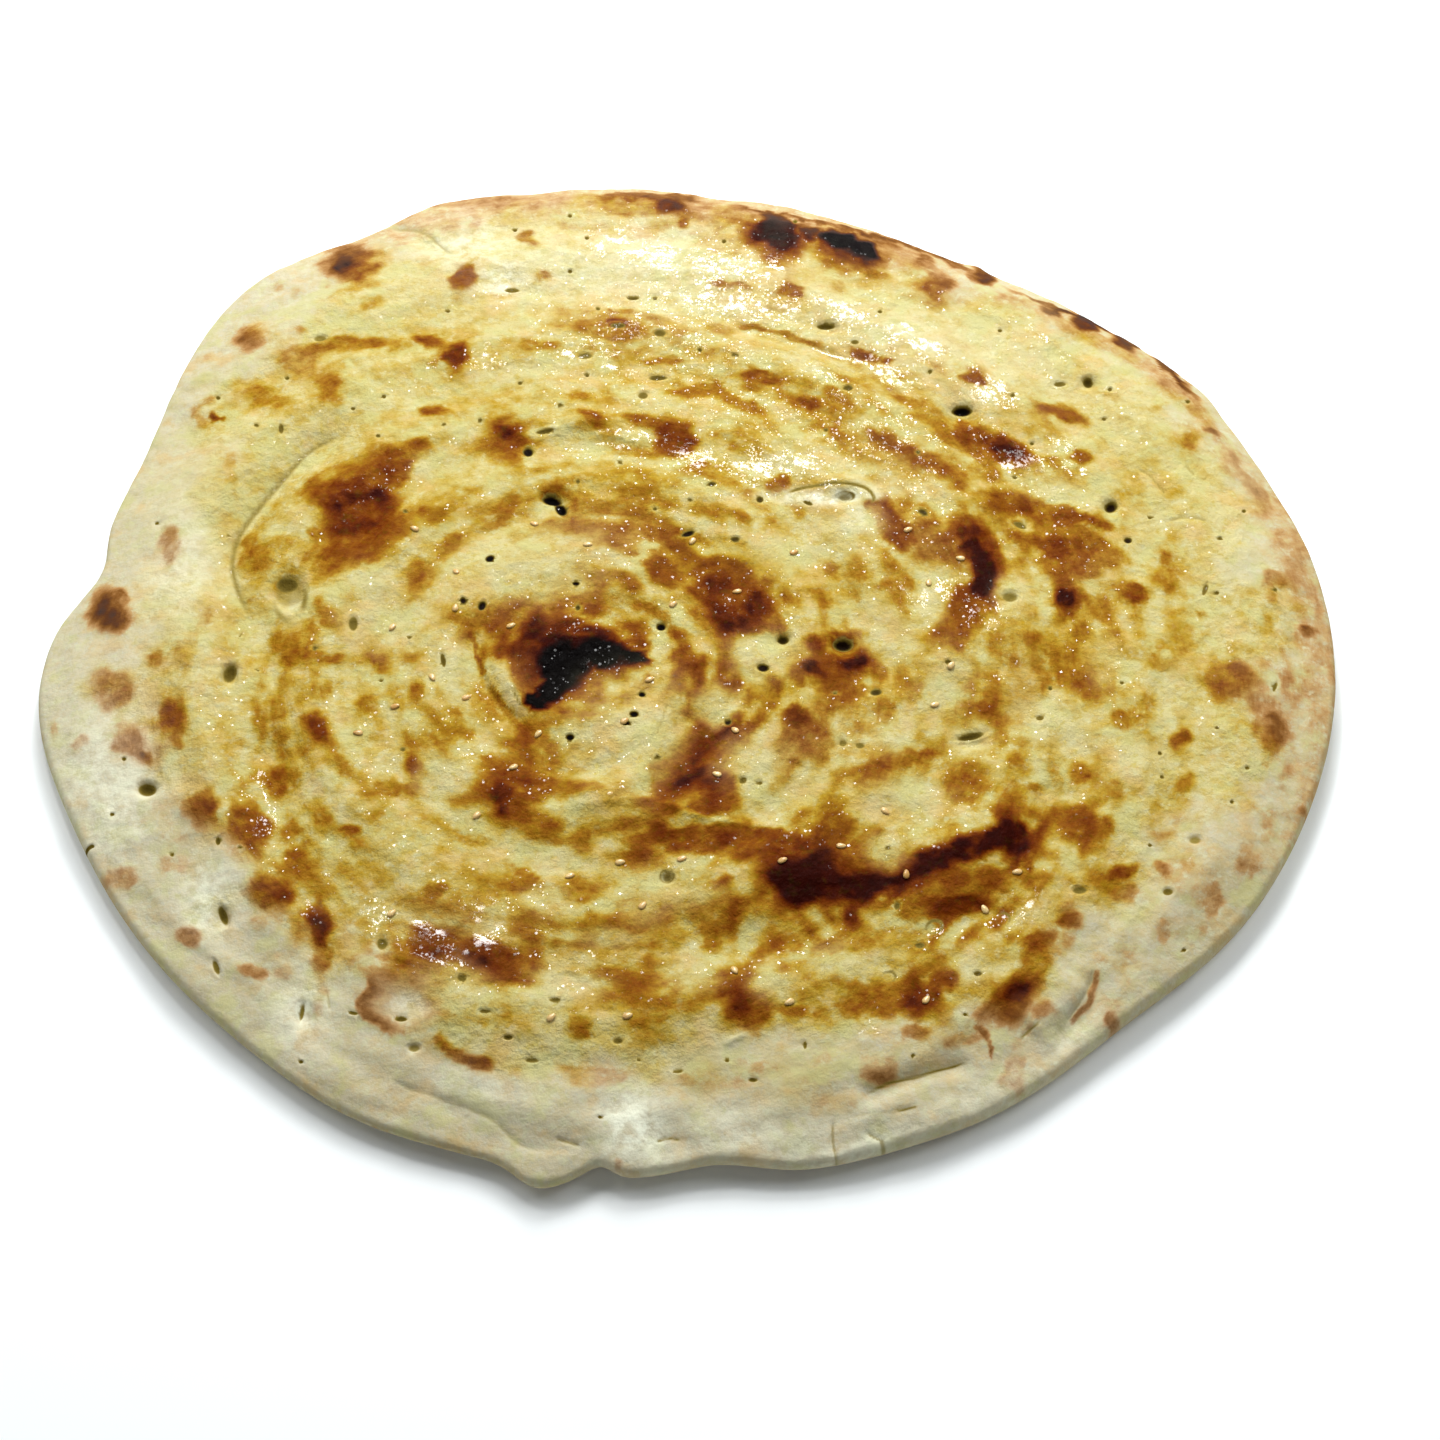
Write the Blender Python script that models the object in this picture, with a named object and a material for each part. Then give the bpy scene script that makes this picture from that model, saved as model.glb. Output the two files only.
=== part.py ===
"""A tamees: one wide, thin flatbread, pressed by hand into a loose spiral of shallow furrows.

Units are metres with +Z up. The origin is on the surface that the bread lies on, under the middle
of its box. +X is to the right and -Y to the front, as the bread is seen in its picture. Places on
the crust were read from that picture, in its frame of 1440 pixels, and lie() turns one into a real
place; sizes, heights and depths are real ones.
"""
import math
import random
from collections import namedtuple

import bmesh
import bpy
import numpy as np
from mathutils import Matrix, Vector, noise

MM = 0.001

# The whole bread
MEAN_REACH = 209 * MM
CROWN_HEIGHT = 16.5 * MM
RIM_TOP_FAR = 10.5 * MM
RIM_TOP_NEAR = 7.5 * MM
SHOULDER_FAR = 13 * MM
SHOULDER_NEAR = 34 * MM

# The rim's round edge: how far each ring lies inside the rim, and the underside's lift there
EDGE_ROUND = 2.4 * MM
UNDER_ROUND = 2.6 * MM
UNDER_LIFT = 2.2 * MM
UNDER_LIFT_WAVE = 0.9 * MM
REST_INSET = 24 * MM

# The furrow that winds out from the heart of the spiral
HEART = (590, 660)
FURROW_DEPTH = 0.8 * MM
FURROW_PITCH = 36 * MM
FURROW_START = 32 * MM
FURROW_WANDER = 6 * MM
FURROW_WANDER_SIZE = 60 * MM
FURROW_RIM_FADE = 25 * MM
FURROW_HEART_FADE = 20 * MM
STROKE_END_FADE = 0.18

# How the picture looks at the bread
VIEW_ELEVATION = math.radians(53)
VIEW_DISTANCE = 0.795
FOCAL_PIXELS = 2500
PICTURE_MIDDLE = 720
AIM = Vector((0.0098, -0.0440, 0.008))

# Mesh fineness
GRID_SEGMENTS = 46
REFINE_ERROR = 0.36 * MM
REFINE_ROUNDS = 2

Bulge = namedtuple("Bulge", "name bearing spread size")
Wave = namedtuple("Wave", "name size rise layer")
Stroke = namedtuple("Stroke", "name rise width places")
Pit = namedtuple("Pit", "name place across along depth")

# Where the outline leaves a circle: bearing and spread in degrees, size outwards
BULGES = (
    Bulge("right side lean", 15, 10, -2.0 * MM),
    Bulge("far right corner", 27.5, 3, 1.8 * MM),
    Bulge("far nub", 56.6, 1.4, 1.6 * MM),
    Bulge("far right flat", 61, 32, -21.0 * MM),
    Bulge("far nick", 88, 5, -2.5 * MM),
    Bulge("far top shoulder", 116, 7, 8.0 * MM),
    Bulge("far left shoulder", 137, 12, 11.0 * MM),
    Bulge("left flat", 165, 14, -9.5 * MM),
    Bulge("left corner notch", 176.5, 5, -7.5 * MM),
    Bulge("left end", 192, 10, 4.0 * MM),
    Bulge("front left", 243, 8, 2.2 * MM),
    Bulge("front lobe", 258.8, 2.5, 5.5 * MM),
    Bulge("hollow beside the lobe", 263.3, 1.4, -3.5 * MM),
    Bulge("front dent", 272.5, 5, -5.0 * MM),
    Bulge("front right", 287, 12, -1.3 * MM),
    Bulge("right front flat", 309, 11, -5.2 * MM),
    Bulge("right end", 350, 14, 1.8 * MM),
)

# The unevenness of hand-pressed dough: humps about as wide as size
WAVES = (
    Wave("hand waves", 34 * MM, 1.1 * MM, 0.3),
    Wave("finger dents", 13 * MM, 0.5 * MM, 4.1),
)

# Furrows and ridges: rise is up from the crust, width is half across
STROKES = (
    Stroke("outer valley, far end", -2.8 * MM, 8 * MM,
           ((372, 420), (310, 448), (262, 502), (238, 560), (250, 615), (280, 690))),
    Stroke("outer valley, near end", -2.0 * MM, 8 * MM,
           ((262, 720), (272, 775), (288, 850), (318, 925), (334, 1010))),
    Stroke("outer roll", 1.4 * MM, 12 * MM,
           ((300, 400), (215, 490), (178, 590), (190, 700), (205, 800), (250, 930))),
    Stroke("lip left of the heart", -1.4 * MM, 4 * MM,
           ((462, 612), (480, 660), (497, 700), (545, 750))),
    Stroke("lip's raised edge", 1.1 * MM, 4 * MM, ((488, 640), (500, 678), (530, 712))),
    Stroke("ring round the heart", 1.8 * MM, 6 * MM,
           ((668, 690), (655, 745), (625, 785), (560, 802))),
    Stroke("ring's outer furrow", -1.3 * MM, 6 * MM, ((700, 700), (690, 760), (640, 815))),
    Stroke("far wave", 1.6 * MM, 5 * MM, ((520, 440), (590, 424), (655, 446))),
    Stroke("far crease", -1.3 * MM, 3.5 * MM, ((722, 324), (800, 345), (892, 366))),
    Stroke("left rim fold", -1.1 * MM, 4 * MM, ((390, 226), (450, 256))),
    Stroke("torn pocket's lip", 1.4 * MM, 3.5 * MM, ((805, 492), (850, 484), (876, 506))),
    Stroke("front slit", -1.6 * MM, 3 * MM, ((852, 1100), (915, 1077), (978, 1060))),
    Stroke("front slit's lower lip", 1.2 * MM, 5 * MM, ((846, 1118), (885, 1114), (925, 1098))),
    Stroke("blister pocket", 1.8 * MM, 6 * MM, ((1082, 975), (1055, 1010), (1025, 1032))),
    Stroke("blister's crease", -1.3 * MM, 3 * MM, ((1098, 968), (1088, 1005), (1045, 1040))),
    Stroke("front edge crease", -1.1 * MM, 5 * MM,
           ((330, 1060), (430, 1098), (500, 1130), (600, 1152))),
    Stroke("front centre crease", -1.0 * MM, 5 * MM, ((640, 1140), (665, 1136), (700, 1146))),
    Stroke("stretched ridge", 0.9 * MM, 6 * MM, ((560, 790), (620, 806), (690, 816), (760, 810))),
    Stroke("right inner ridge", 1.3 * MM, 7 * MM,
           ((1240, 790), (1230, 830), (1195, 880), (1110, 960))),
    Stroke("right wave", 1.4 * MM, 9 * MM, ((880, 500), (960, 548), (985, 620), (940, 690))),
    Stroke("right furrow", -1.4 * MM, 7 * MM, ((935, 500), (1040, 590), (1040, 690), (960, 760))),
    Stroke("front wave", 1.6 * MM, 10 * MM, ((760, 880), (860, 862), (960, 845), (1035, 820))),
    Stroke("front furrow", -1.6 * MM, 8 * MM, ((620, 905), (760, 945), (900, 930), (1040, 900))),
)

# Holes and dents wide enough to be real ones: across and along are the picture's pixels
PITS = (
    Pit("crater in the outer valley", (290, 592), 30, 38, 2.6 * MM),
    Pit("left hole", (230, 674), 16, 22, 2.2 * MM),
    Pit("left rim hole", (147, 789), 20, 18, 2.0 * MM),
    Pit("middle black hole", (843, 645), 24, 18, 2.6 * MM),
    Pit("right black hole", (962, 411), 30, 20, 2.6 * MM),
    Pit("right ring hole", (1112, 507), 18, 16, 2.0 * MM),
    Pit("far right hole", (1088, 383), 16, 13, 2.0 * MM),
    Pit("far hole", (828, 326), 20, 10, 1.8 * MM),
    Pit("black torn patch", (556, 501), 30, 20, 2.0 * MM),
    Pit("right slit", (970, 740), 28, 13, 2.0 * MM),
    Pit("front dent", (303, 1012), 16, 32, 1.6 * MM),
    Pit("left crescent", (222, 918), 16, 22, 1.8 * MM),
    Pit("pocket hole", (845, 499), 22, 11, 1.8 * MM),
    Pit("dent right of the heart", (783, 640), 16, 12, 1.8 * MM),
    Pit("dent below the heart", (668, 878), 16, 13, 1.6 * MM),
    Pit("far left dent", (500, 282), 44, 26, 1.2 * MM),
    Pit("sink of the heart", (575, 672), 110, 62, 1.4 * MM),
    Pit("ring blister's middle", (408, 1002), 60, 38, 1.3 * MM),
)

# Sesame seeds, sparse and mostly on the near half: some where they show best, the rest drawn
CLEAR_SEEDS = (
    (985, 907), (926, 1001), (538, 734), (511, 625), (737, 592), (735, 730), (935, 705),
    (358, 733), (395, 706), (415, 532), (908, 532), (466, 695), (717, 775),
)
SEED_COUNT = 44
SEED_LENGTH = 3.2 * MM
SEED_WIDTH = 2.0 * MM
SEED_HEIGHT = 1.1 * MM
SEED_TAPER = 0.5
SEED_FIELD = (350, 1050, 520, 1030)
SEED_APART = 13 * MM
SEED_DRAW = 7


def reach(bearing):
    """How far the rim is from the outline's own centre, at bearings in degrees."""
    distance = np.full(np.shape(bearing), MEAN_REACH)
    for bulge in BULGES:
        turn = (bearing - bulge.bearing + 180) % 360 - 180
        distance = distance + bulge.size * np.exp(-(turn / bulge.spread) ** 2)
    return distance


def outline_shift():
    """The move that brings the outline's box to the middle of the origin."""
    bearing = np.arange(0, 360, 0.25)
    x = reach(bearing) * np.cos(np.radians(bearing))
    y = reach(bearing) * np.sin(np.radians(bearing))
    return -(x.max() + x.min()) / 2, -(y.max() + y.min()) / 2


SHIFT_X, SHIFT_Y = outline_shift()


def polar(x, y):
    """Distance from the outline's centre, and bearing in degrees."""
    across = x - SHIFT_X
    along = y - SHIFT_Y
    return np.hypot(across, along), np.degrees(np.arctan2(along, across))


def between(bearing, far_value, near_value):
    """A value that eases round the bread from the far right side to the near left side."""
    ease = 0.5 - 0.5 * np.cos(np.radians(bearing - 50))
    return far_value + (near_value - far_value) * ease


def dome(x, y):
    """The crust's height without its furrows: a flat crown that rolls down to the rim."""
    distance, bearing = polar(x, y)
    inset = np.maximum(reach(bearing) - distance, 0)
    rim_top = between(bearing, RIM_TOP_FAR, RIM_TOP_NEAR)
    shoulder = between(bearing, SHOULDER_FAR, SHOULDER_NEAR)
    return rim_top + (CROWN_HEIGHT - rim_top) * np.tanh(inset / shoulder)


def lie(px, py):
    """The place on the dome that shows at a pixel of the picture."""
    forward = Vector((0, math.cos(VIEW_ELEVATION), -math.sin(VIEW_ELEVATION)))
    upward = Vector((0, math.sin(VIEW_ELEVATION), math.cos(VIEW_ELEVATION)))
    eye = AIM - forward * VIEW_DISTANCE
    ray = forward * FOCAL_PIXELS
    ray += Vector((px - PICTURE_MIDDLE, 0, 0)) - upward * (py - PICTURE_MIDDLE)
    height = CROWN_HEIGHT
    for _ in range(4):
        spot = eye + ray * ((height - eye.z) / ray.z)
        height = float(dome(spot.x, spot.y))
    return spot.x, spot.y


def smooth_path(places, steps=6):
    """Real places along a smooth curve through the given pixels."""
    knots = [Vector(lie(*place)) for place in places]
    knots = [2 * knots[0] - knots[1]] + knots + [2 * knots[-1] - knots[-2]]
    path = []
    for before, start, end, after in zip(knots, knots[1:], knots[2:], knots[3:]):
        for step in range(steps):
            t = step / steps
            path.append(0.5 * (2 * start + (end - before) * t
                               + (2 * before - 5 * start + 4 * end - after) * t * t
                               + (3 * start - before - 3 * end + after) * t * t * t))
    path.append(knots[-2])
    return path


def stroke_rise(stroke, x, y):
    """How much one furrow or ridge lifts the crust, fading out at its two ends."""
    path = smooth_path(stroke.places)
    nearest = np.full(np.shape(x), np.inf)
    progress = np.zeros(np.shape(x))
    spans = len(path) - 1
    for index, (start, end) in enumerate(zip(path, path[1:])):
        run_x, run_y = end - start
        t = ((x - start.x) * run_x + (y - start.y) * run_y) / (run_x ** 2 + run_y ** 2)
        t = np.clip(t, 0, 1)
        away = np.hypot(x - start.x - t * run_x, y - start.y - t * run_y)
        progress = np.where(away < nearest, (index + t) / spans, progress)
        nearest = np.minimum(nearest, away)
    fade = np.clip(np.minimum(progress, 1 - progress) / STROKE_END_FADE, 0, 1)
    fade = fade * fade * (3 - 2 * fade)
    return stroke.rise * fade * np.exp(-(nearest / stroke.width) ** 2)


def pit_rise(pit, x, y):
    """How much one hole or dent lowers the crust: a flat floor with steep walls."""
    left, _ = lie(pit.place[0] - pit.across / 2, pit.place[1])
    right, middle_y = lie(pit.place[0] + pit.across / 2, pit.place[1])
    _, far = lie(pit.place[0], pit.place[1] - pit.along / 2)
    _, near = lie(pit.place[0], pit.place[1] + pit.along / 2)
    u = (x - (left + right) / 2) / ((right - left) / 2)
    v = (y - middle_y) / ((far - near) / 2)
    return -pit.depth * np.exp(-(u * u + v * v) ** 1.5)


def furrow_rise(x, y):
    """The furrow of the spiral: one turn further out for each turn round the heart."""
    heart_x, heart_y = lie(*HEART)
    distance = np.hypot(x - heart_x, y - heart_y)
    turn = np.arctan2(y - heart_y, x - heart_x) / (2 * math.pi)
    wander = FURROW_WANDER * ripple(x, y, FURROW_WANDER_SIZE, 1.7)
    phase = (distance + wander - FURROW_START) / FURROW_PITCH - turn + 0.5
    rim_distance, bearing = polar(x, y)
    inset = np.maximum(reach(bearing) - rim_distance, 0)
    fade = np.tanh(inset / FURROW_RIM_FADE) * np.tanh(distance / FURROW_HEART_FADE)
    return -FURROW_DEPTH * fade * np.cos(2 * math.pi * phase)


def ripple(x, y, size, layer):
    """Smooth noise between -1 and 1, with humps about as wide as size."""
    flat = [noise.noise(Vector((a / size, b / size, layer)))
            for a, b in zip(np.ravel(x), np.ravel(y))]
    return np.reshape(flat, np.shape(x))


def crust_height(x, y):
    """The top of the bread, furrows, ridges, holes and all."""
    height = dome(x, y) + furrow_rise(x, y)
    for wave in WAVES:
        height = height + wave.rise * ripple(x, y, wave.size, wave.layer)
    for stroke in STROKES:
        height = height + stroke_rise(stroke, x, y)
    for pit in PITS:
        height = height + pit_rise(pit, x, y)
    return height


def new_material(name, colour, roughness):
    material = bpy.data.materials.new(name)
    material.use_nodes = True
    shader = material.node_tree.nodes["Principled BSDF"]
    shader.inputs["Base Color"].default_value = (*colour, 1)
    shader.inputs["Roughness"].default_value = roughness
    shader.inputs["Metallic"].default_value = 0
    return material


def coordinates(verts):
    """The x and y of the given vertices, as two arrays."""
    flat = np.array([vert.co[:2] for vert in verts])
    return flat[:, 0], flat[:, 1]


def round_grid(mesh, segments):
    """A square grid whose edge is drawn out to the rim's round edge."""
    bmesh.ops.create_grid(mesh, x_segments=segments, y_segments=segments, size=1)
    for vert in mesh.verts:
        u, v, _ = vert.co
        disc_x = u * math.sqrt(1 - v * v / 2)
        disc_y = v * math.sqrt(1 - u * u / 2)
        bearing = math.degrees(math.atan2(disc_y, disc_x))
        inner_reach = float(reach(bearing)) - EDGE_ROUND
        vert.co = (SHIFT_X + disc_x * inner_reach, SHIFT_Y + disc_y * inner_reach, 0)


def refine(mesh):
    """Splits the edges that would cut across a furrow, a hole or a lip."""
    for _ in range(REFINE_ROUNDS):
        edges = list(mesh.edges)
        start_x, start_y = coordinates([edge.verts[0] for edge in edges])
        end_x, end_y = coordinates([edge.verts[1] for edge in edges])
        ends = (crust_height(start_x, start_y) + crust_height(end_x, end_y)) / 2
        middle = crust_height((start_x + end_x) / 2, (start_y + end_y) / 2)
        bent = [edge for edge, error in zip(edges, np.abs(middle - ends)) if error > REFINE_ERROR]
        bmesh.ops.subdivide_edges(mesh, edges=bent, cuts=1, use_grid_fill=True)
        bmesh.ops.triangulate(mesh, faces=mesh.faces[:], quad_method="BEAUTY", ngon_method="BEAUTY")


def raise_crust(mesh):
    verts = list(mesh.verts)
    x, y = coordinates(verts)
    for vert, height in zip(verts, crust_height(x, y)):
        vert.co.z = height


def ring_below(mesh, rim_edges, inset, height):
    """Extrudes the open edge to a ring at a given inset from the rim."""
    grown = bmesh.ops.extrude_edge_only(mesh, edges=rim_edges)["geom"]
    for vert in (item for item in grown if isinstance(item, bmesh.types.BMVert)):
        _, bearing = polar(vert.co.x, vert.co.y)
        distance = float(reach(bearing)) - inset
        vert.co.x = SHIFT_X + distance * math.cos(math.radians(bearing))
        vert.co.y = SHIFT_Y + distance * math.sin(math.radians(bearing))
        vert.co.z = height(vert.co.z, bearing)
    return [item for item in grown if isinstance(item, bmesh.types.BMEdge)]


def under_height(bearing):
    """How far the underside's outer edge is lifted off the table."""
    return UNDER_LIFT + UNDER_LIFT_WAVE * math.sin(math.radians(3 * bearing + 40))


def close_underside(mesh):
    """Rolls the open edge round the rim and closes the bread with a flat underside."""
    rim = [edge for edge in mesh.edges if edge.is_boundary]
    rim = ring_below(mesh, rim, 0, lambda top, bearing: (top + under_height(bearing)) / 2)
    rim = ring_below(mesh, rim, UNDER_ROUND, lambda top, bearing: under_height(bearing))
    rim = ring_below(mesh, rim, REST_INSET, lambda top, bearing: 0)
    bmesh.ops.contextual_create(mesh, geom=rim)


def make_bread(material):
    mesh = bmesh.new()
    round_grid(mesh, GRID_SEGMENTS)
    refine(mesh)
    raise_crust(mesh)
    close_underside(mesh)
    bmesh.ops.recalc_face_normals(mesh, faces=mesh.faces[:])
    return finish_object(mesh, "tamees", material)


def finish_object(mesh, name, material):
    data = bpy.data.meshes.new(name)
    mesh.to_mesh(data)
    mesh.free()
    data.materials.append(material)
    data.shade_smooth()
    piece = bpy.data.objects.new(name, data)
    bpy.context.scene.collection.objects.link(piece)
    return piece


def seed_places():
    """The clear seeds, then more drawn over their field, each kept apart from the others."""
    draw = random.Random(SEED_DRAW)
    places = [(*lie(*seed), draw.uniform(0, 2 * math.pi)) for seed in CLEAR_SEEDS]
    while len(places) < SEED_COUNT:
        x, y = lie(draw.uniform(*SEED_FIELD[:2]), draw.uniform(*SEED_FIELD[2:]))
        if all(math.hypot(x - a, y - b) > SEED_APART for a, b, _ in places):
            places.append((x, y, draw.uniform(0, 2 * math.pi)))
    return places


def lean(x, y):
    """The turn that lays a thing flat on the crust at a place."""
    step = 1.5 * MM
    heights = crust_height(np.array([x - step, x + step, x, x]), np.array([y, y, y - step, y + step]))
    slope = Vector((heights[0] - heights[1], heights[2] - heights[3], 2 * step))
    return Vector((0, 0, 1)).rotation_difference(slope).to_matrix().to_4x4()


def make_seeds(material):
    """Sesame seeds, each a drop with six sides, half sunk in the crust."""
    heap = bpy.data.collections.new("seeds")
    bpy.context.scene.collection.children.link(heap)
    for x, y, turn in seed_places():
        mesh = bmesh.new()
        bmesh.ops.create_uvsphere(mesh, u_segments=6, v_segments=4, radius=0.5)
        for vert in mesh.verts:
            vert.co.y *= 1 - SEED_TAPER * vert.co.x
        size = Matrix.Diagonal((SEED_LENGTH, SEED_WIDTH, SEED_HEIGHT, 1))
        height = float(crust_height(np.array([x]), np.array([y]))[0])
        place = Matrix.Translation((x, y, height + 0.2 * SEED_HEIGHT))
        turned = lean(x, y) @ Matrix.Rotation(turn, 4, "Z")
        bmesh.ops.transform(mesh, matrix=place @ turned @ size, verts=mesh.verts[:])
        seed = finish_object(mesh, "seed", material)
        bpy.context.scene.collection.objects.unlink(seed)
        heap.objects.link(seed)
    return heap


def fuse(piece, heap):
    """Joins all the seeds to the bread in one union, then removes the loose ones."""
    union = piece.modifiers.new("seeds", "BOOLEAN")
    union.operation = "UNION"
    union.operand_type = "COLLECTION"
    union.collection = heap
    union.solver = "EXACT"
    bpy.context.view_layer.objects.active = piece
    with bpy.context.temp_override(object=piece, active_object=piece):
        bpy.ops.object.modifier_apply(modifier=union.name)
    for seed in list(heap.objects):
        bpy.data.objects.remove(seed)
    bpy.data.collections.remove(heap)


def main():
    for thing in list(bpy.data.objects):
        bpy.data.objects.remove(thing)
    crust = new_material("oiled crust", (0.55, 0.38, 0.16), 0.4)
    sesame = new_material("sesame", (0.75, 0.6, 0.35), 0.5)
    bread = make_bread(crust)
    fuse(bread, make_seeds(sesame))


main()
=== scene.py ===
"""The looks of a tamees: one wide, thin flatbread with a browned crust, oiled and sparsely seeded.

Units are metres with +Z up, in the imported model's frame. The bread's form is worked out again here
from the same sizes as its solid, with finer relief on a finer mesh. Places on the crust were read
from the bread's picture, in its frame of 1440 pixels, and so were the widths and heights of its
marks; a pixel is about a third of a millimetre. Relief, seeds and mesh have real sizes.
"""

import math
import random
from collections import namedtuple

import bmesh
import bpy
import numpy as np
from mathutils import Matrix, Vector, noise


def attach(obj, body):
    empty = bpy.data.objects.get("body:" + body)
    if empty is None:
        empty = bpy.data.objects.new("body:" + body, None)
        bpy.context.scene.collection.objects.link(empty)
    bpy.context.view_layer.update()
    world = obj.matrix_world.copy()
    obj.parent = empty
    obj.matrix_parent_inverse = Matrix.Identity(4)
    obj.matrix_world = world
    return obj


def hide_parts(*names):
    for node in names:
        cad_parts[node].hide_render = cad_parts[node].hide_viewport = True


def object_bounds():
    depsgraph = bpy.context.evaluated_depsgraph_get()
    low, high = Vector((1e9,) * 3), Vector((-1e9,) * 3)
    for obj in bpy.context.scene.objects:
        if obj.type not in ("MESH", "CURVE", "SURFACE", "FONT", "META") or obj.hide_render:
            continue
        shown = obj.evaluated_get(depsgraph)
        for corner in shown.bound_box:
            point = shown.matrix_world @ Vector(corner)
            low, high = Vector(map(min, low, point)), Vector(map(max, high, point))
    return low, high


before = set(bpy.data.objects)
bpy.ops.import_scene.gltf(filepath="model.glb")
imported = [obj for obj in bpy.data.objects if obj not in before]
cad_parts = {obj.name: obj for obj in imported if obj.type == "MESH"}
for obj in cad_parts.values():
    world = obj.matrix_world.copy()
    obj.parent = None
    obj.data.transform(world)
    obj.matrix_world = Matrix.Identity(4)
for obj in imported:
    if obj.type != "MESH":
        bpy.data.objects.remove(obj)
cad_low, cad_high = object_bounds()

MM = 0.001

# Shapes: bearings and spreads are in degrees; places, across and along in the picture's pixels
Bulge = namedtuple("Bulge", "name bearing spread size")
Stroke = namedtuple("Stroke", "name rise width places")
Pit = namedtuple("Pit", "name place across along depth")

# Unevenness: a wave's humps are about as wide as its size, and a stream's are drawn out round the
# heart of the spiral; the layer sets each one apart from the others
Wave = namedtuple("Wave", "name size rise layer")
Stream = namedtuple("Stream", "name across along rise layer")

# Marks on the crust: in the picture's pixels and degrees, but a crease's width and sink in metres;
# tone and dark run from 0 to 1
Spot = namedtuple("Spot", "x y wide high tone turn", defaults=(0,))
Streak = namedtuple("Streak", "width tone places")
Crease = namedtuple("Crease", "width sink dark places")
Places = namedtuple("Places", "small broad")

# Looks: a window eases a value between its limits to a range of its own
Window = namedtuple("Window", "low high out_low out_high", defaults=(0.0, 1.0))
Lamp = namedtuple("Lamp", "name azimuth elevation distance size power")
Glint = namedtuple("Glint", "name x y slope size power")


def spots(*rows):
    """Spots from rows of x, y, wide, high, tone and, where a spot is turned, turn."""
    return tuple(Spot(*row) for row in rows)


# The whole bread
MEAN_REACH = 209 * MM
CROWN_HEIGHT = 16.5 * MM
RIM_TOP_FAR = 10.5 * MM
RIM_TOP_NEAR = 7.5 * MM
SHOULDER_FAR = 13 * MM
SHOULDER_NEAR = 34 * MM
# The bearing at which the rim is highest
FAR_SIDE = 50

# The rim: the radii of its round edge above and below, the lift of the underside's edge with the
# number of its waves, and how far in the bread begins to rest
EDGE_ROUND = 2.4 * MM
UNDER_ROUND = 2.6 * MM
UNDER_LIFT = 2.2 * MM
UNDER_LIFT_WAVE = 0.9 * MM
UNDER_WAVES = 3
UNDER_WAVES_TURN = 40
REST_INSET = 24 * MM

# The furrow that winds out from the heart of the spiral
HEART = (590, 660)
FURROW_DEPTH = 0.8 * MM
FURROW_PITCH = 36 * MM
FURROW_START = 32 * MM
FURROW_WANDER = Wave("furrow's wander", 60 * MM, 6 * MM, 1.7)
FURROW_RIM_FADE = 25 * MM
FURROW_HEART_FADE = 20 * MM
# Over what share of its length a line fades in and out, and how steep the walls of a pit are
STROKE_END_FADE = 0.18
PIT_STEEPNESS = 1.5

# How the picture looks at the bread
VIEW_ELEVATION = math.radians(53)
VIEW_DISTANCE = 0.795
FOCAL_PIXELS = 2500
PICTURE_MIDDLE = 720
AIM = Vector((0.0098, -0.0440, 0.008))
FORWARD = Vector((0, math.cos(VIEW_ELEVATION), -math.sin(VIEW_ELEVATION)))
UPWARD = Vector((0, math.sin(VIEW_ELEVATION), math.cos(VIEW_ELEVATION)))
EYE = AIM - FORWARD * VIEW_DISTANCE
PIXEL = VIEW_DISTANCE / FOCAL_PIXELS
SENSOR = 36
SIGHT_STEPS = 4

# Mesh fineness: edges longer than the fine spacing are split beside marks, where beside a hole is
# in its own radii, and beside a crease and the width of a small hole are in pixels
GRID_SEGMENTS = 256
FINE_SPACING = 0.62 * MM
SMALL_HOLE = 10
BESIDE_HOLE = 1.7
BESIDE_CREASE = 6
CREASE_STEPS = 2
EDGE_STEPS = 4

# Relief finer than the solid's
HUMPS = Wave("humps", 6.5 * MM, 0.34 * MM, 12.6)
PUCKERS = Wave("puckers", 3.6 * MM, 0.16 * MM, 15.2)
WRINKLES = Stream("wrinkles", 5 * MM, 28 * MM, 0.48 * MM, 4.4)
BLISTER_RISE = 0.5 * MM
BUBBLE_RISE = 0.45 * MM
CREASE_NARROWING = 1.4
# Room kept free inside the solid's box
TOP_CLEARANCE = 0.15 * MM
RIM_CLEARANCE = 0.05 * MM

# Holes sink by a share of their width, and have a raised lip, placed in their own radii
HOLE_SINK = 0.35
HOLE_SINK_LIMIT = 1.2 * MM
HOLE_LIP = 0.16 * MM
LIP_PLACE = 1.55
LIP_SPREAD = 0.4

# A burst bubble's dark ring: it leans, and is broken up by slanting bands some pixels wide
RING_SKEW = 0.12
RING_WIDTH = 0.3
RING_BREAKS = 0.3
RING_BAND = 7

# How far in from the rim the oil begins, and how ragged its edge is
OIL_INSET_FAR = 17 * MM
OIL_INSET_NEAR = 33 * MM
OIL_BAYS = Wave("bays of the oil's edge", 26 * MM, 18 * MM, 6.1)
OIL_FRAY = Wave("fray of the oil's edge", 8 * MM, 9 * MM, 9.2)
OIL_SOFTNESS = 13 * MM

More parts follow.
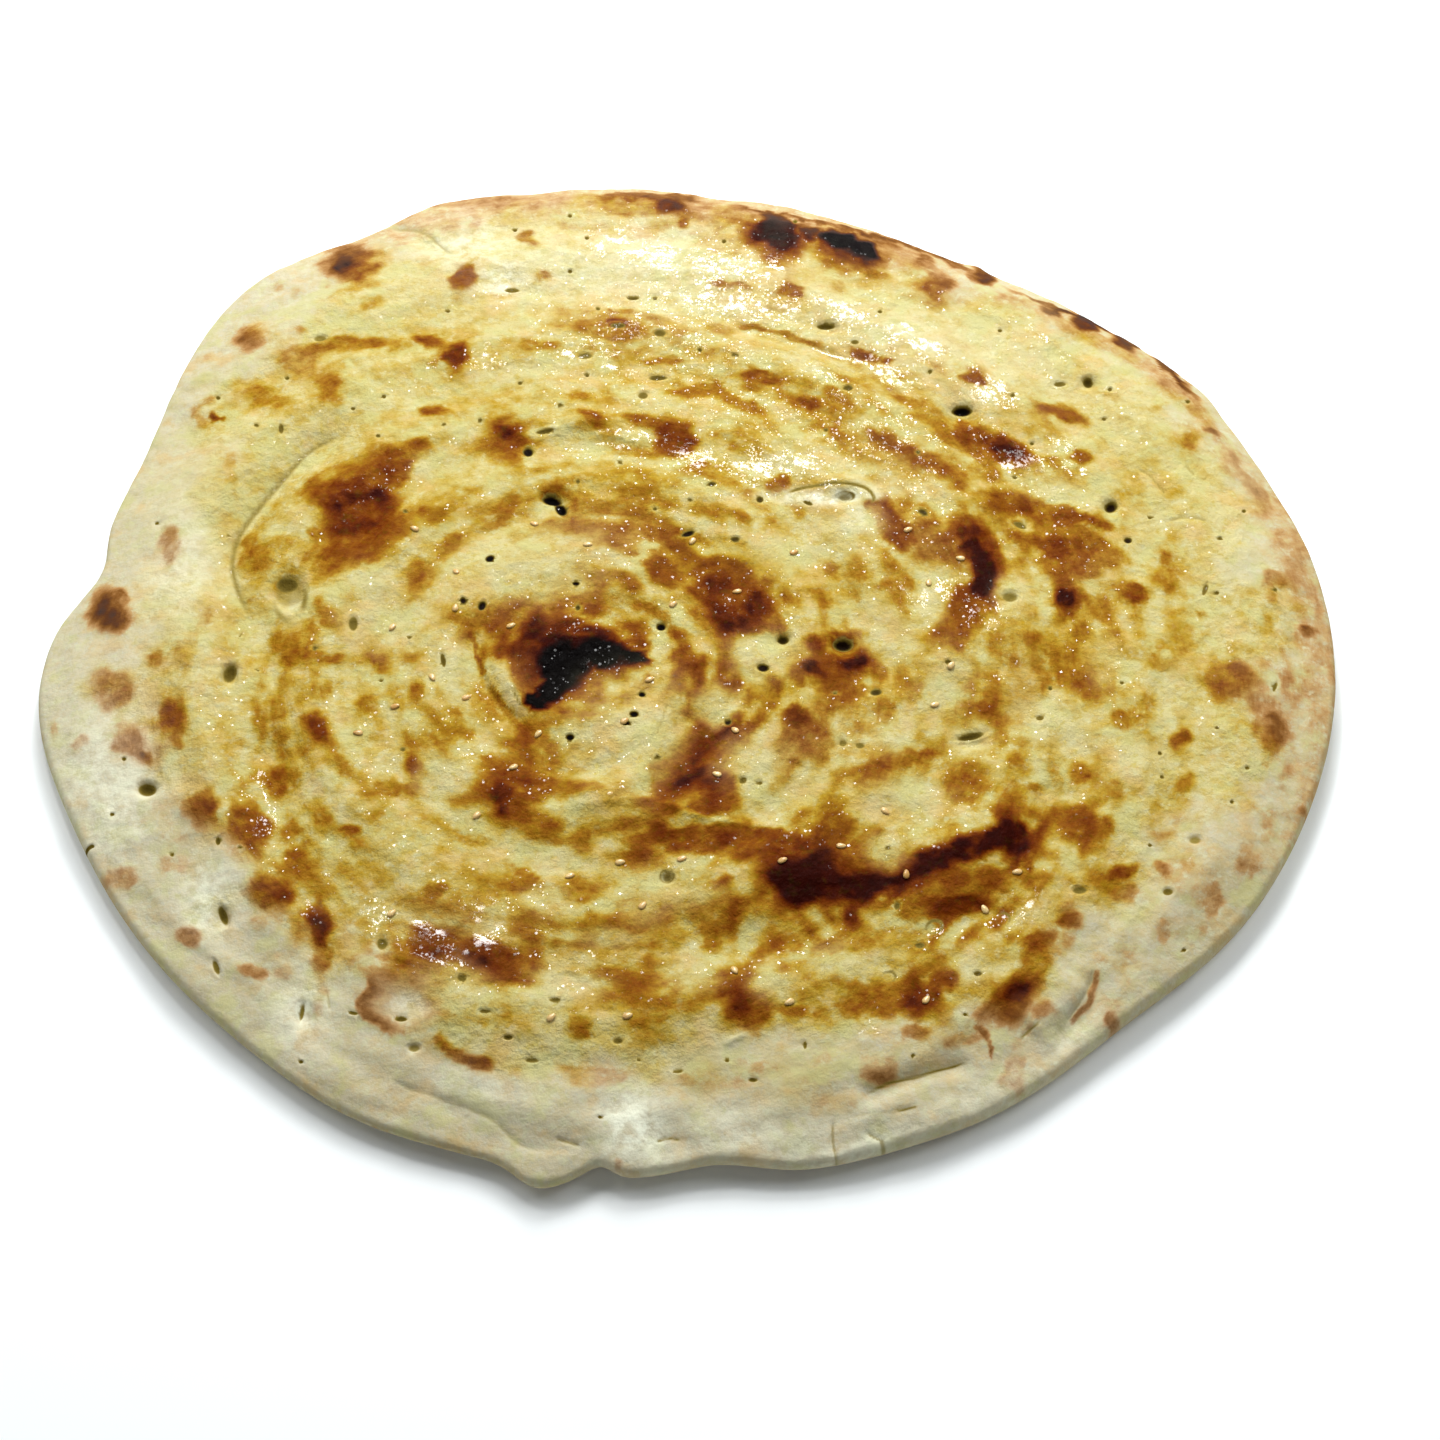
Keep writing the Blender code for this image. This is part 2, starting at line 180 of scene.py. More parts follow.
# Frayed edges of the marks: they stray by pixels, across and along, and broad marks further
BROAD_MARK = 34
FINE_FRAY = (
    Wave("fine fray across", 4.4 * MM, 3.4, 5.9),
    Wave("fine fray along", 4.4 * MM, 3.4, 8.3),
)
BROAD_FRAY = (
    Wave("broad fray across", 9 * MM, 8, 11.7),
    Wave("broad fray along", 9 * MM, 8, 14.1),
)
MARK_DRIFT = Stream("drift round the heart", 5.2 * MM, 20 * MM, 11, 8.8)
HEART_CALM = 30

# A browned mark is full within the first of these radii and gone at the second
SPOT_FULL = 0.5
SPOT_END = 1.45
# How sharply the darker of two marks that overlap wins over the other
MELT = 5

# How crisp the edge of any other mark is, and the power that makes it half as strong just there
SOFT = 2
MILD = 3
FIRM = 4
HARD = 6
CRISP = 7
HALVING = 0.69

# Tones of browning, from pale dough to char
TAN = 0.26
GOLD = 0.36
AMBER = 0.48
BROWN = 0.62
DARK = 0.74
MAHOGANY = 0.89
CHAR = 1.0
DARKEST_BAKED = 0.9
# How much light marks are lightened, so that the edges of dark ones are crisper
TONE_CONTRAST = 0.05
# How much of their browning pale islands, bubbles and the lips of holes lose
ISLAND_PALENESS = 0.76
BUBBLE_PALENESS = 0.8
LIP_PALENESS = 0.35
# How uneven the browning of the marks is
TONE_PATCHES = Wave("patchy browning", 7 * MM, 0.17, 7.7)
TONE_FLECKS = Wave("flecked browning", 2.8 * MM, 0.15, 9.7)

# The golden veil round browned marks: its share of their tone, its start in their own radii, its
# reach and the width of a mark that has all of it in pixels, and what is left of it on dry crust
VEIL_SHARE = 0.6
VEIL_START = 0.8
VEIL_REACH = 17
VEIL_FULL_WIDTH = 30
VEIL_DRY = 0.3

# Mottling of the ground between the marks
MOTTLE_LEVEL = 0.92
MOTTLE_STREAKS = Stream("streaks", 9 * MM, 24 * MM, 1.2, 2.9)
MOTTLE_PATCHES = Wave("patches", 5.5 * MM, 1.1, 3.3)
MOTTLE_FINE_STREAKS = Stream("fine streaks", 4.4 * MM, 15 * MM, 1.0, 6.6)
ZONE_MOTTLE_LIMITS = (0.05, 1.75)
VEIL_MOTTLE_LIMITS = (0.3, 1.1)

# Where the outline leaves a circle: bearing and spread in degrees, size outwards
BULGES = (
    Bulge("right side lean", 15, 10, -2.0 * MM),
    Bulge("far right corner", 27.5, 3, 1.8 * MM),
    Bulge("far nub", 56.6, 1.4, 1.6 * MM),
    Bulge("far right flat", 61, 32, -21.0 * MM),
    Bulge("far nick", 88, 5, -2.5 * MM),
    Bulge("far top shoulder", 116, 7, 8.0 * MM),
    Bulge("far left shoulder", 137, 12, 11.0 * MM),
    Bulge("left flat", 165, 14, -9.5 * MM),
    Bulge("left corner notch", 176.5, 5, -7.5 * MM),
    Bulge("left end", 192, 10, 4.0 * MM),
    Bulge("front left", 243, 8, 2.2 * MM),
    Bulge("front lobe", 258.8, 2.5, 5.5 * MM),
    Bulge("hollow beside the lobe", 263.3, 1.4, -3.5 * MM),
    Bulge("front dent", 272.5, 5, -5.0 * MM),
    Bulge("front right", 287, 12, -1.3 * MM),
    Bulge("right front flat", 309, 11, -5.2 * MM),
    Bulge("right end", 350, 14, 1.8 * MM),
)

# The unevenness of hand-pressed dough
WAVES = (
    Wave("hand waves", 34 * MM, 1.1 * MM, 0.3),
    Wave("finger dents", 13 * MM, 0.5 * MM, 4.1),
)

# Furrows and ridges: rise is up from the crust, width is half across
STROKES = (
    Stroke("outer valley, far end", -2.8 * MM, 8 * MM,
           ((372, 420), (310, 448), (262, 502), (238, 560), (250, 615), (280, 690))),
    Stroke("outer valley, near end", -2.0 * MM, 8 * MM,
           ((262, 720), (272, 775), (288, 850), (318, 925), (334, 1010))),
    Stroke("outer roll", 1.4 * MM, 12 * MM,
           ((300, 400), (215, 490), (178, 590), (190, 700), (205, 800), (250, 930))),
    Stroke("lip left of the heart", -1.4 * MM, 4 * MM,
           ((462, 612), (480, 660), (497, 700), (545, 750))),
    Stroke("lip's raised edge", 1.1 * MM, 4 * MM, ((488, 640), (500, 678), (530, 712))),
    Stroke("ring round the heart", 1.8 * MM, 6 * MM,
           ((668, 690), (655, 745), (625, 785), (560, 802))),
    Stroke("ring's outer furrow", -1.3 * MM, 6 * MM, ((700, 700), (690, 760), (640, 815))),
    Stroke("far wave", 1.6 * MM, 5 * MM, ((520, 440), (590, 424), (655, 446))),
    Stroke("far crease", -1.3 * MM, 3.5 * MM, ((722, 324), (800, 345), (892, 366))),
    Stroke("left rim fold", -1.1 * MM, 4 * MM, ((390, 226), (450, 256))),
    Stroke("torn pocket's lip", 1.4 * MM, 3.5 * MM, ((805, 492), (850, 484), (876, 506))),
    Stroke("front slit", -1.6 * MM, 3 * MM, ((852, 1100), (915, 1077), (978, 1060))),
    Stroke("front slit's lower lip", 1.2 * MM, 5 * MM, ((846, 1118), (885, 1114), (925, 1098))),
    Stroke("blister pocket", 1.8 * MM, 6 * MM, ((1082, 975), (1055, 1010), (1025, 1032))),
    Stroke("blister's crease", -1.3 * MM, 3 * MM, ((1098, 968), (1088, 1005), (1045, 1040))),
    Stroke("front edge crease", -1.1 * MM, 5 * MM,
           ((330, 1060), (430, 1098), (500, 1130), (600, 1152))),
    Stroke("front centre crease", -1.0 * MM, 5 * MM, ((640, 1140), (665, 1136), (700, 1146))),
    Stroke("stretched ridge", 0.9 * MM, 6 * MM, ((560, 790), (620, 806), (690, 816), (760, 810))),
    Stroke("right inner ridge", 1.3 * MM, 7 * MM,
           ((1240, 790), (1230, 830), (1195, 880), (1110, 960))),
    Stroke("right wave", 1.4 * MM, 9 * MM, ((880, 500), (960, 548), (985, 620), (940, 690))),
    Stroke("right furrow", -1.4 * MM, 7 * MM, ((935, 500), (1040, 590), (1040, 690), (960, 760))),
    Stroke("front wave", 1.6 * MM, 10 * MM, ((760, 880), (860, 862), (960, 845), (1035, 820))),
    Stroke("front furrow", -1.6 * MM, 8 * MM, ((620, 905), (760, 945), (900, 930), (1040, 900))),
)

# Holes and dents wide enough to be real ones: across and along are the picture's pixels
PITS = (
    Pit("crater in the outer valley", (290, 592), 30, 38, 2.6 * MM),
    Pit("left hole", (230, 674), 16, 22, 2.2 * MM),
    Pit("left rim hole", (147, 789), 20, 18, 2.0 * MM),
    Pit("middle black hole", (843, 645), 24, 18, 2.6 * MM),
    Pit("right black hole", (962, 411), 30, 20, 2.6 * MM),
    Pit("right ring hole", (1112, 507), 18, 16, 2.0 * MM),
    Pit("far right hole", (1088, 383), 16, 13, 2.0 * MM),
    Pit("far hole", (828, 326), 20, 10, 1.8 * MM),
    Pit("black torn patch", (556, 501), 30, 20, 2.0 * MM),
    Pit("right slit", (970, 740), 28, 13, 2.0 * MM),
    Pit("front dent", (303, 1012), 16, 32, 1.6 * MM),
    Pit("left crescent", (222, 918), 16, 22, 1.8 * MM),
    Pit("pocket hole", (845, 499), 22, 11, 1.8 * MM),
    Pit("dent right of the heart", (783, 640), 16, 12, 1.8 * MM),
    Pit("dent below the heart", (668, 878), 16, 13, 1.6 * MM),
    Pit("far left dent", (500, 282), 44, 26, 1.2 * MM),
    Pit("sink of the heart", (575, 672), 110, 62, 1.4 * MM),
    Pit("ring blister's middle", (408, 1002), 60, 38, 1.3 * MM),
)

# Sesame seeds, sparse and mostly on the near half: some where they show best, the rest drawn
CLEAR_SEEDS = (
    (985, 907), (926, 1001), (538, 734), (511, 625), (737, 592), (735, 730), (935, 705),
    (358, 733), (395, 706), (415, 532), (908, 532), (466, 695), (717, 775),
)
# How many there are, and the field of the others: its left, right, far and near ends
SEED_COUNT = 44
SEED_FIELD = (350, 1050, 520, 1030)
SEED_APART = 13 * MM
SEED_DRAW = 7
# Each seed: its middle lies above the crust by a share of its height
SEED_LENGTH = 3.2 * MM
SEED_WIDTH = 2.0 * MM
SEED_HEIGHT = 1.1 * MM
SEED_TAPER = 0.5
SEED_LIFT = 0.25
SEED_SIDES = 10
SEED_RINGS = 7

# Ground tone of the crust under its marks, zone by zone
ZONES = spots(
    (660, 660, 560, 440, 0.39), (1000, 610, 460, 460, 0.3), (800, 400, 800, 200, 0.24, 5),
    (800, 880, 760, 320, 0.37), (470, 960, 300, 160, 0.28), (330, 700, 280, 560, 0.27),
    (720, 235, 640, 70, 0.2, 8), (640, 1075, 520, 60, 0.2), (165, 780, 130, 220, 0.16, -20),
    (1270, 680, 110, 420, 0.25),
)

# Pale islands, where the dough stayed light
ISLANDS = spots(
    (765, 655, 62, 40, 1), (885, 632, 56, 40, 1, 45), (945, 680, 50, 60, 1, 10), (750, 765, 54, 46, 1),
    (902, 800, 78, 34, 1), (857, 520, 42, 30, 1), (797, 552, 82, 38, 0.9), (532, 568, 128, 64, 1, -8),
    (640, 735, 64, 110, 1, 20), (440, 780, 40, 44, 1), (372, 612, 60, 66, 1), (655, 895, 72, 46, 0.7),
    (505, 850, 34, 22, 0.8), (772, 980, 36, 32, 0.9), (1014, 597, 36, 36, 1), (1072, 726, 38, 44, 0.8),
    (1136, 760, 52, 40, 0.8), (1146, 530, 36, 40, 0.9), (1230, 540, 64, 190, 0.8),
    (1126, 412, 54, 90, 0.7), (1030, 350, 60, 90, 0.7), (620, 735, 90, 90, 0.8),
    (400, 620, 60, 50, 0.8), (717, 706, 36, 36, 0.9), (450, 660, 34, 40, 1), (971, 742, 36, 30, 1),
    (890, 735, 30, 30, 0.8), (404, 1006, 52, 36, 0.8, 20), (566, 987, 60, 34, 1),
    (548, 900, 34, 30, 0.8), (735, 1046, 30, 24, 1), (426, 470, 26, 22, 1), (455, 985, 70, 40, 0.7, 10),
    (885, 850, 40, 26, 0.8), (1060, 490, 70, 24, 0.8, 8), (610, 940, 50, 20, 0.7),
    (826, 497, 94, 15, 1, -2), (690, 975, 54, 28, 0.8), (830, 960, 40, 26, 0.7),
    (975, 965, 36, 30, 0.8), (880, 1060, 90, 24, 0.6, -8), (700, 1060, 90, 26, 0.6),
    (1105, 660, 30, 50, 0.7), (1040, 720, 44, 40, 0.7), (1180, 690, 40, 50, 0.7),
    (930, 610, 24, 30, 0.7), (560, 860, 40, 22, 0.7), (666, 894, 84, 24, 0.8),
)

# Browned spots of the dry rim
RIM_SPOTS = spots(
    (425, 222, 90, 24, 0.3, 8), (349, 264, 66, 40, BROWN, -4), (341, 267, 30, 20, DARK),
    (279, 287, 13, 11, TAN), (293, 295, 12, 10, TAN), (250, 338, 46, 32, GOLD, -20),
    (250, 338, 34, 24, 0.5, -20), (298, 330, 17, 10, GOLD), (297, 360, 60, 30, 0.42, 10),
    (205, 361, 20, 16, TAN), (239, 385, 18, 18, TAN), (264, 397, 62, 26, 0.46, 12),
    (326, 388, 34, 32, 0.5), (230, 460, 22, 15, GOLD), (235, 482, 12, 32, TAN), (222, 518, 18, 10, TAN),
    (169, 545, 26, 42, AMBER, 8), (109, 615, 50, 48, BROWN), (106, 617, 28, 26, DARK),
    (124, 597, 18, 13, BROWN), (112, 688, 58, 46, 0.46), (130, 742, 54, 36, 0.46, 30),
    (145, 755, 10, 18, BROWN, -20), (80, 745, 26, 16, GOLD), (53, 728, 9, 24, GOLD),
    (202, 807, 38, 44, BROWN, 20), (249, 828, 42, 46, BROWN, 20), (82, 828, 16, 27, TAN),
    (145, 825, 16, 12, TAN), (122, 878, 36, 30, 0.42), (176, 864, 46, 26, 0.34),
    (189, 938, 30, 24, 0.46), (250, 970, 34, 18, AMBER, 8), (282, 972, 27, 18, GOLD),
    (258, 925, 22, 16, GOLD), (320, 1010, 16, 22, GOLD), (1275, 734, 37, 54, BROWN),
    (1308, 632, 24, 15, BROWN), (1305, 815, 11, 27, BROWN), (1163, 932, 20, 30, GOLD),
    (1110, 1020, 17, 23, AMBER), (1014, 1072, 32, 46, GOLD, 20), (832, 1105, 58, 21, TAN),
    (877, 1067, 40, 38, 0.56, -20), (1275, 577, 32, 22, AMBER), (1285, 680, 22, 30, GOLD),
    (1243, 715, 18, 18, TAN), (1250, 860, 34, 40, GOLD), (1212, 900, 34, 34, GOLD),
    (1230, 920, 30, 26, TAN), (1195, 870, 90, 60, 0.2, -30), (545, 1182, 22, 8, GOLD),
    (605, 1164, 34, 10, DARK),
)

# The far rim's browned band, with the two charred bubbles
FAR_RIM_SPOTS = spots(
    (672, 207, 38, 18, DARK, 4), (682, 222, 14, 12, BROWN, 30), (475, 222, 22, 18, GOLD),
    (530, 238, 22, 18, AMBER), (570, 226, 26, 13, GOLD), (402, 240, 22, 18, TAN),
    (545, 275, 19, 13, AMBER), (464, 277, 24, 32, BROWN), (493, 298, 21, 7, GOLD),
    (730, 222, 22, 14, GOLD), (700, 235, 24, 18, TAN), (777, 234, 50, 36, CHAR, 10),
    (810, 233, 24, 16, DARK), (836, 242, 34, 20, CHAR, 12), (862, 252, 34, 17, CHAR, 12),
    (856, 252, 66, 34, DARK, 14), (775, 240, 74, 50, BROWN, 8), (878, 240, 54, 14, AMBER, 12),
    (925, 262, 30, 16, AMBER, 15), (937, 286, 34, 32, BROWN), (983, 277, 28, 17, DARK, 20),
    (915, 299, 42, 10, TAN, 10), (1050, 311, 22, 11, DARK, 20), (1085, 324, 34, 12, DARK, 20),
    (1120, 343, 27, 11, DARK, 25), (1185, 386, 22, 18, GOLD, 30), (1160, 378, 22, 16, TAN, 20),
    (1190, 441, 22, 22, AMBER), (1212, 430, 15, 11, DARK), (1232, 466, 28, 34, 0.58, -30),
    (1258, 500, 27, 40, 0.58, -30), (1250, 485, 16, 20, BROWN, -30), (960, 300, 30, 14, TAN, 10),
    (620, 212, 36, 16, GOLD, 4), (1012, 300, 36, 12, GOLD, 20), (430, 265, 26, 20, TAN),
)

# Browned spots of the upper crust
UPPER_SPOTS = spots(
    (372, 303, 30, 13, GOLD), (430, 342, 40, 15, BROWN, 6), (455, 356, 26, 28, DARK, 40),
    (610, 328, 92, 32, AMBER, 4), (538, 345, 44, 14, AMBER), (660, 362, 52, 13, AMBER),
    (582, 396, 24, 12, AMBER), (592, 418, 38, 14, BROWN, 35), (690, 394, 62, 11, AMBER, 4),
    (435, 410, 32, 13, BROWN, -10), (418, 448, 30, 28, AMBER), (506, 440, 52, 46, BROWN, 10),
    (502, 432, 22, 20, DARK), (678, 440, 48, 40, DARK, 10), (622, 470, 30, 16, GOLD),
    (732, 285, 56, 11, AMBER, 8), (790, 290, 32, 18, BROWN, 8), (840, 288, 22, 13, GOLD),
    (757, 378, 66, 16, BROWN, 8), (810, 405, 32, 15, BROWN, 10), (973, 378, 26, 21, BROWN, 20),
    (895, 455, 92, 46, GOLD, 22), (990, 446, 90, 32, BROWN, 18), (1010, 454, 56, 24, DARK, 15),
    (828, 412, 76, 30, 0.38, 8), (785, 482, 24, 11, BROWN), (1060, 412, 62, 16, BROWN, 15),
    (1125, 418, 17, 9, AMBER), (1110, 394, 32, 7, AMBER, 10), (1080, 456, 27, 15, BROWN, 10),
    (1012, 503, 66, 25, BROWN, 12), (840, 430, 60, 26, GOLD, 20), (745, 440, 50, 40, GOLD, 10),
    (760, 300, 150, 20, TAN, 8), (640, 420, 60, 16, AMBER, 10), (905, 400, 44, 14, AMBER, 15),
    (1150, 408, 40, 8, GOLD, -20), (720, 330, 40, 14, GOLD, 8), (500, 350, 40, 12, TAN),
)

# Browned spots between the heart and the left side
LEFT_SPOTS = spots(
    (362, 510, 104, 96, BROWN, 20), (330, 494, 44, 44, BROWN), (364, 506, 70, 60, 0.68, -30),
    (352, 546, 62, 44, BROWN, 10), (316, 536, 22, 14, AMBER), (394, 468, 52, 40, 0.66, -20),
    (420, 446, 30, 20, AMBER, -30), (208, 617, 13, 15, GOLD), (182, 654, 27, 30, GOLD),
    (155, 658, 22, 18, AMBER), (172, 718, 36, 36, BROWN, 30), (177, 743, 18, 20, AMBER),
    (237, 740, 18, 18, GOLD), (261, 722, 16, 56, AMBER, -10), (278, 781, 26, 34, BROWN, -10),
    (325, 690, 22, 24, GOLD), (330, 618, 30, 26, AMBER), (319, 728, 24, 34, BROWN),
    (324, 822, 24, 36, AMBER), (350, 830, 22, 15, BROWN), (296, 862, 38, 37, AMBER),
    (272, 895, 50, 42, BROWN, 8), (280, 896, 24, 20, DARK), (318, 925, 26, 52, DARK, -6),
    (360, 705, 14, 24, GOLD), (257, 560, 40, 64, 0.43), (265, 610, 26, 30, TAN),
    (300, 640, 40, 30, GOLD), (290, 830, 24, 30, AMBER), (230, 760, 22, 40, TAN),
    (325, 960, 20, 34, AMBER),
)

# Browned spots round the heart of the spiral
HEART_SPOTS = spots(
    (508, 508, 26, 36, AMBER, 30), (557, 493, 34, 20, 0.58), (571, 508, 16, 24, 0.52),
    (432, 515, 38, 22, AMBER), (455, 541, 26, 24, AMBER, -30), (480, 526, 44, 16, GOLD, -20),
    (416, 574, 24, 38, AMBER), (664, 572, 50, 34, BROWN, 40), (674, 558, 58, 28, AMBER, -5),
    (532, 603, 76, 36, 0.42, -10), (535, 741, 38, 32, AMBER), (560, 632, 112, 40, 0.76, 4),
    (528, 652, 56, 50, 0.72), (514, 634, 76, 80, 0.42), (552, 604, 60, 36, AMBER, -6),
    (546, 696, 30, 14, DARK, -10), (570, 690, 60, 26, BROWN), (410, 657, 30, 18, AMBER),
    (376, 657, 26, 20, BROWN), (418, 697, 22, 18, AMBER), (450, 728, 38, 26, 0.42),
    (415, 768, 24, 36, BROWN, -20), (388, 788, 34, 22, AMBER), (412, 790, 26, 20, BROWN),
    (508, 790, 74, 72, BROWN, 10), (500, 797, 24, 40, DARK), (545, 825, 32, 22, AMBER),
    (588, 757, 19, 13, AMBER), (615, 757, 11, 11, AMBER), (582, 842, 29, 36, AMBER),
    (696, 766, 108, 82, 0.6, -30), (704, 772, 64, 46, DARK, -25), (668, 790, 50, 34, BROWN, -20),
    (728, 740, 34, 34, DARK), (700, 842, 180, 34, AMBER, 4), (520, 745, 50, 30, GOLD, 40),
    (470, 620, 30, 40, GOLD, 30), (600, 705, 70, 30, GOLD, -30), (668, 690, 34, 40, GOLD),
    (608, 575, 34, 18, GOLD, 10), (560, 700, 40, 14, AMBER, -10), (480, 700, 26, 60, GOLD, -20),
    (452, 610, 34, 24, TAN),
)

# Char: solid black, with a crisp edge
CHARRED = spots(
    (565, 665, 66, 62, CHAR), (600, 654, 84, 38, CHAR, 8), (634, 656, 38, 15, CHAR, 6),
    (552, 690, 44, 26, CHAR, -15), (533, 701, 26, 16, CHAR, 15), (776, 233, 44, 29, 0.93, 10),
    (840, 241, 46, 23, CHAR, 14), (864, 250, 42, 19, CHAR, 16),
)

# Browned spots right of the heart
RIGHT_SPOTS = spots(
    (735, 598, 112, 66, BROWN, 20), (715, 588, 40, 36, 0.7, 10), (760, 608, 44, 30, 0.76, 15),
    (745, 626, 70, 24, 0.7, 5), (742, 568, 90, 34, 0.42, 10), (838, 655, 78, 56, BROWN),
    (812, 666, 26, 24, MAHOGANY), (856, 664, 36, 20, MAHOGANY), (846, 636, 50, 18, DARK),
    (825, 592, 90, 40, TAN, 10), (934, 545, 84, 40, 0.52, 30), (835, 570, 16, 15, AMBER),
    (985, 712, 42, 28, 0.54), (1006, 690, 70, 60, 0.3), (966, 783, 36, 26, AMBER),
    (1015, 760, 22, 17, AMBER), (796, 718, 34, 24, DARK), (808, 735, 56, 50, 0.5, 10),
    (852, 744, 36, 38, TAN), (905, 758, 86, 22, 0.55, -10), (866, 772, 50, 20, AMBER, -5),
    (832, 812, 30, 36, AMBER, -10), (1060, 548, 90, 26, BROWN, 12), (1082, 566, 50, 30, 0.55, 10),
    (1068, 602, 40, 40, BROWN), (1066, 598, 24, 22, MAHOGANY), (1082, 632, 24, 30, AMBER),
    (1085, 683, 44, 27, 0.54), (1135, 592, 34, 20, BROWN), (1166, 582, 32, 20, AMBER),
    (1165, 558, 16, 10, AMBER), (1245, 592, 27, 19, AMBER), (1225, 600, 16, 12, AMBER),
    (1180, 613, 18, 12, GOLD), (1203, 618, 14, 10, AMBER), (1112, 635, 27, 22, AMBER),
    (1164, 664, 40, 27, AMBER), (1200, 640, 20, 14, GOLD), (1234, 678, 54, 46, BROWN),
    (1180, 740, 25, 22, BROWN), (1185, 785, 20, 18, AMBER), (1122, 720, 32, 24, 0.42),
    (1080, 774, 32, 24, AMBER), (1115, 790, 22, 22, AMBER), (1035, 790, 24, 16, AMBER),
    (1075, 825, 62, 42, BROWN, 10), (1160, 835, 30, 13, GOLD), (1060, 654, 90, 46, 0.42),
    (1010, 640, 50, 60, GOLD), (1130, 650, 60, 30, TAN), (900, 685, 26, 34, 0.4, 10),
    (765, 690, 50, 30, 0.42), (820, 690, 60, 30, AMBER), (700, 700, 30, 44, GOLD),
    (1100, 610, 40, 30, 0.42), (960, 470, 70, 24, GOLD, 20), (780, 488, 30, 12, 0.58),
)

# Browned spots of the front
FRONT_SPOTS = spots(
    (808, 876, 120, 76, DARK, 8), (802, 880, 84, 62, MAHOGANY), (866, 885, 100, 34, MAHOGANY, -12),
    (846, 918, 24, 24, DARK), (1016, 838, 42, 56, MAHOGANY), (1029, 864, 16, 16, BROWN),
    (720, 801, 46, 32, BROWN), (962, 905, 70, 28, DARK), (912, 912, 34, 22, AMBER),
    (990, 878, 90, 22, 0.54, -4), (880, 998, 66, 48, AMBER), (922, 999, 48, 40, DARK),
    (946, 980, 36, 28, BROWN), (917, 1032, 24, 22, AMBER), (964, 1038, 46, 18, 0.4, -8),
    (1013, 999, 80, 42, BROWN, -42), (1019, 991, 40, 28, DARK, -30), (1044, 1008, 30, 22, AMBER),
    (1036, 942, 46, 24, 0.56, -8), (1030, 900, 30, 13, GOLD), (1068, 922, 36, 16, BROWN, -10),
    (1120, 873, 42, 16, BROWN, -16), (1163, 868, 27, 16, AMBER, -10), (1120, 890, 34, 20, AMBER),
    (746, 1007, 66, 54, BROWN), (743, 1005, 30, 28, DARK), (794, 1012, 38, 16, AMBER, 5),
    (730, 975, 50, 18, AMBER), (782, 944, 68, 36, 0.42), (856, 938, 38, 34, AMBER),
    (713, 942, 30, 24, AMBER), (825, 1068, 38, 34, TAN), (412, 950, 32, 22, AMBER),
    (514, 966, 60, 42, 0.58, 14), (530, 936, 34, 60, 0.5, -6), (520, 905, 30, 50, GOLD),
    (433, 893, 36, 22, 0.5, -30), (488, 896, 60, 44, GOLD), (586, 893, 34, 24, 0.44),
    (637, 981, 78, 36, 0.54, 10), (577, 1020, 36, 36, 0.4), (581, 1033, 30, 14, AMBER),
    (638, 1030, 28, 30, 0.4), (404, 998, 90, 76, 0.5, 10), (378, 1000, 34, 46, 0.58),
    (500, 1017, 18, 13, GOLD), (658, 935, 86, 22, GOLD), (900, 940, 90, 30, GOLD),
    (700, 900, 120, 60, GOLD, 10), (640, 860, 60, 30, AMBER), (1000, 950, 60, 30, TAN),
    (760, 850, 90, 30, 0.54, 6), (400, 930, 60, 30, TAN), (665, 905, 120, 30, TAN),
)

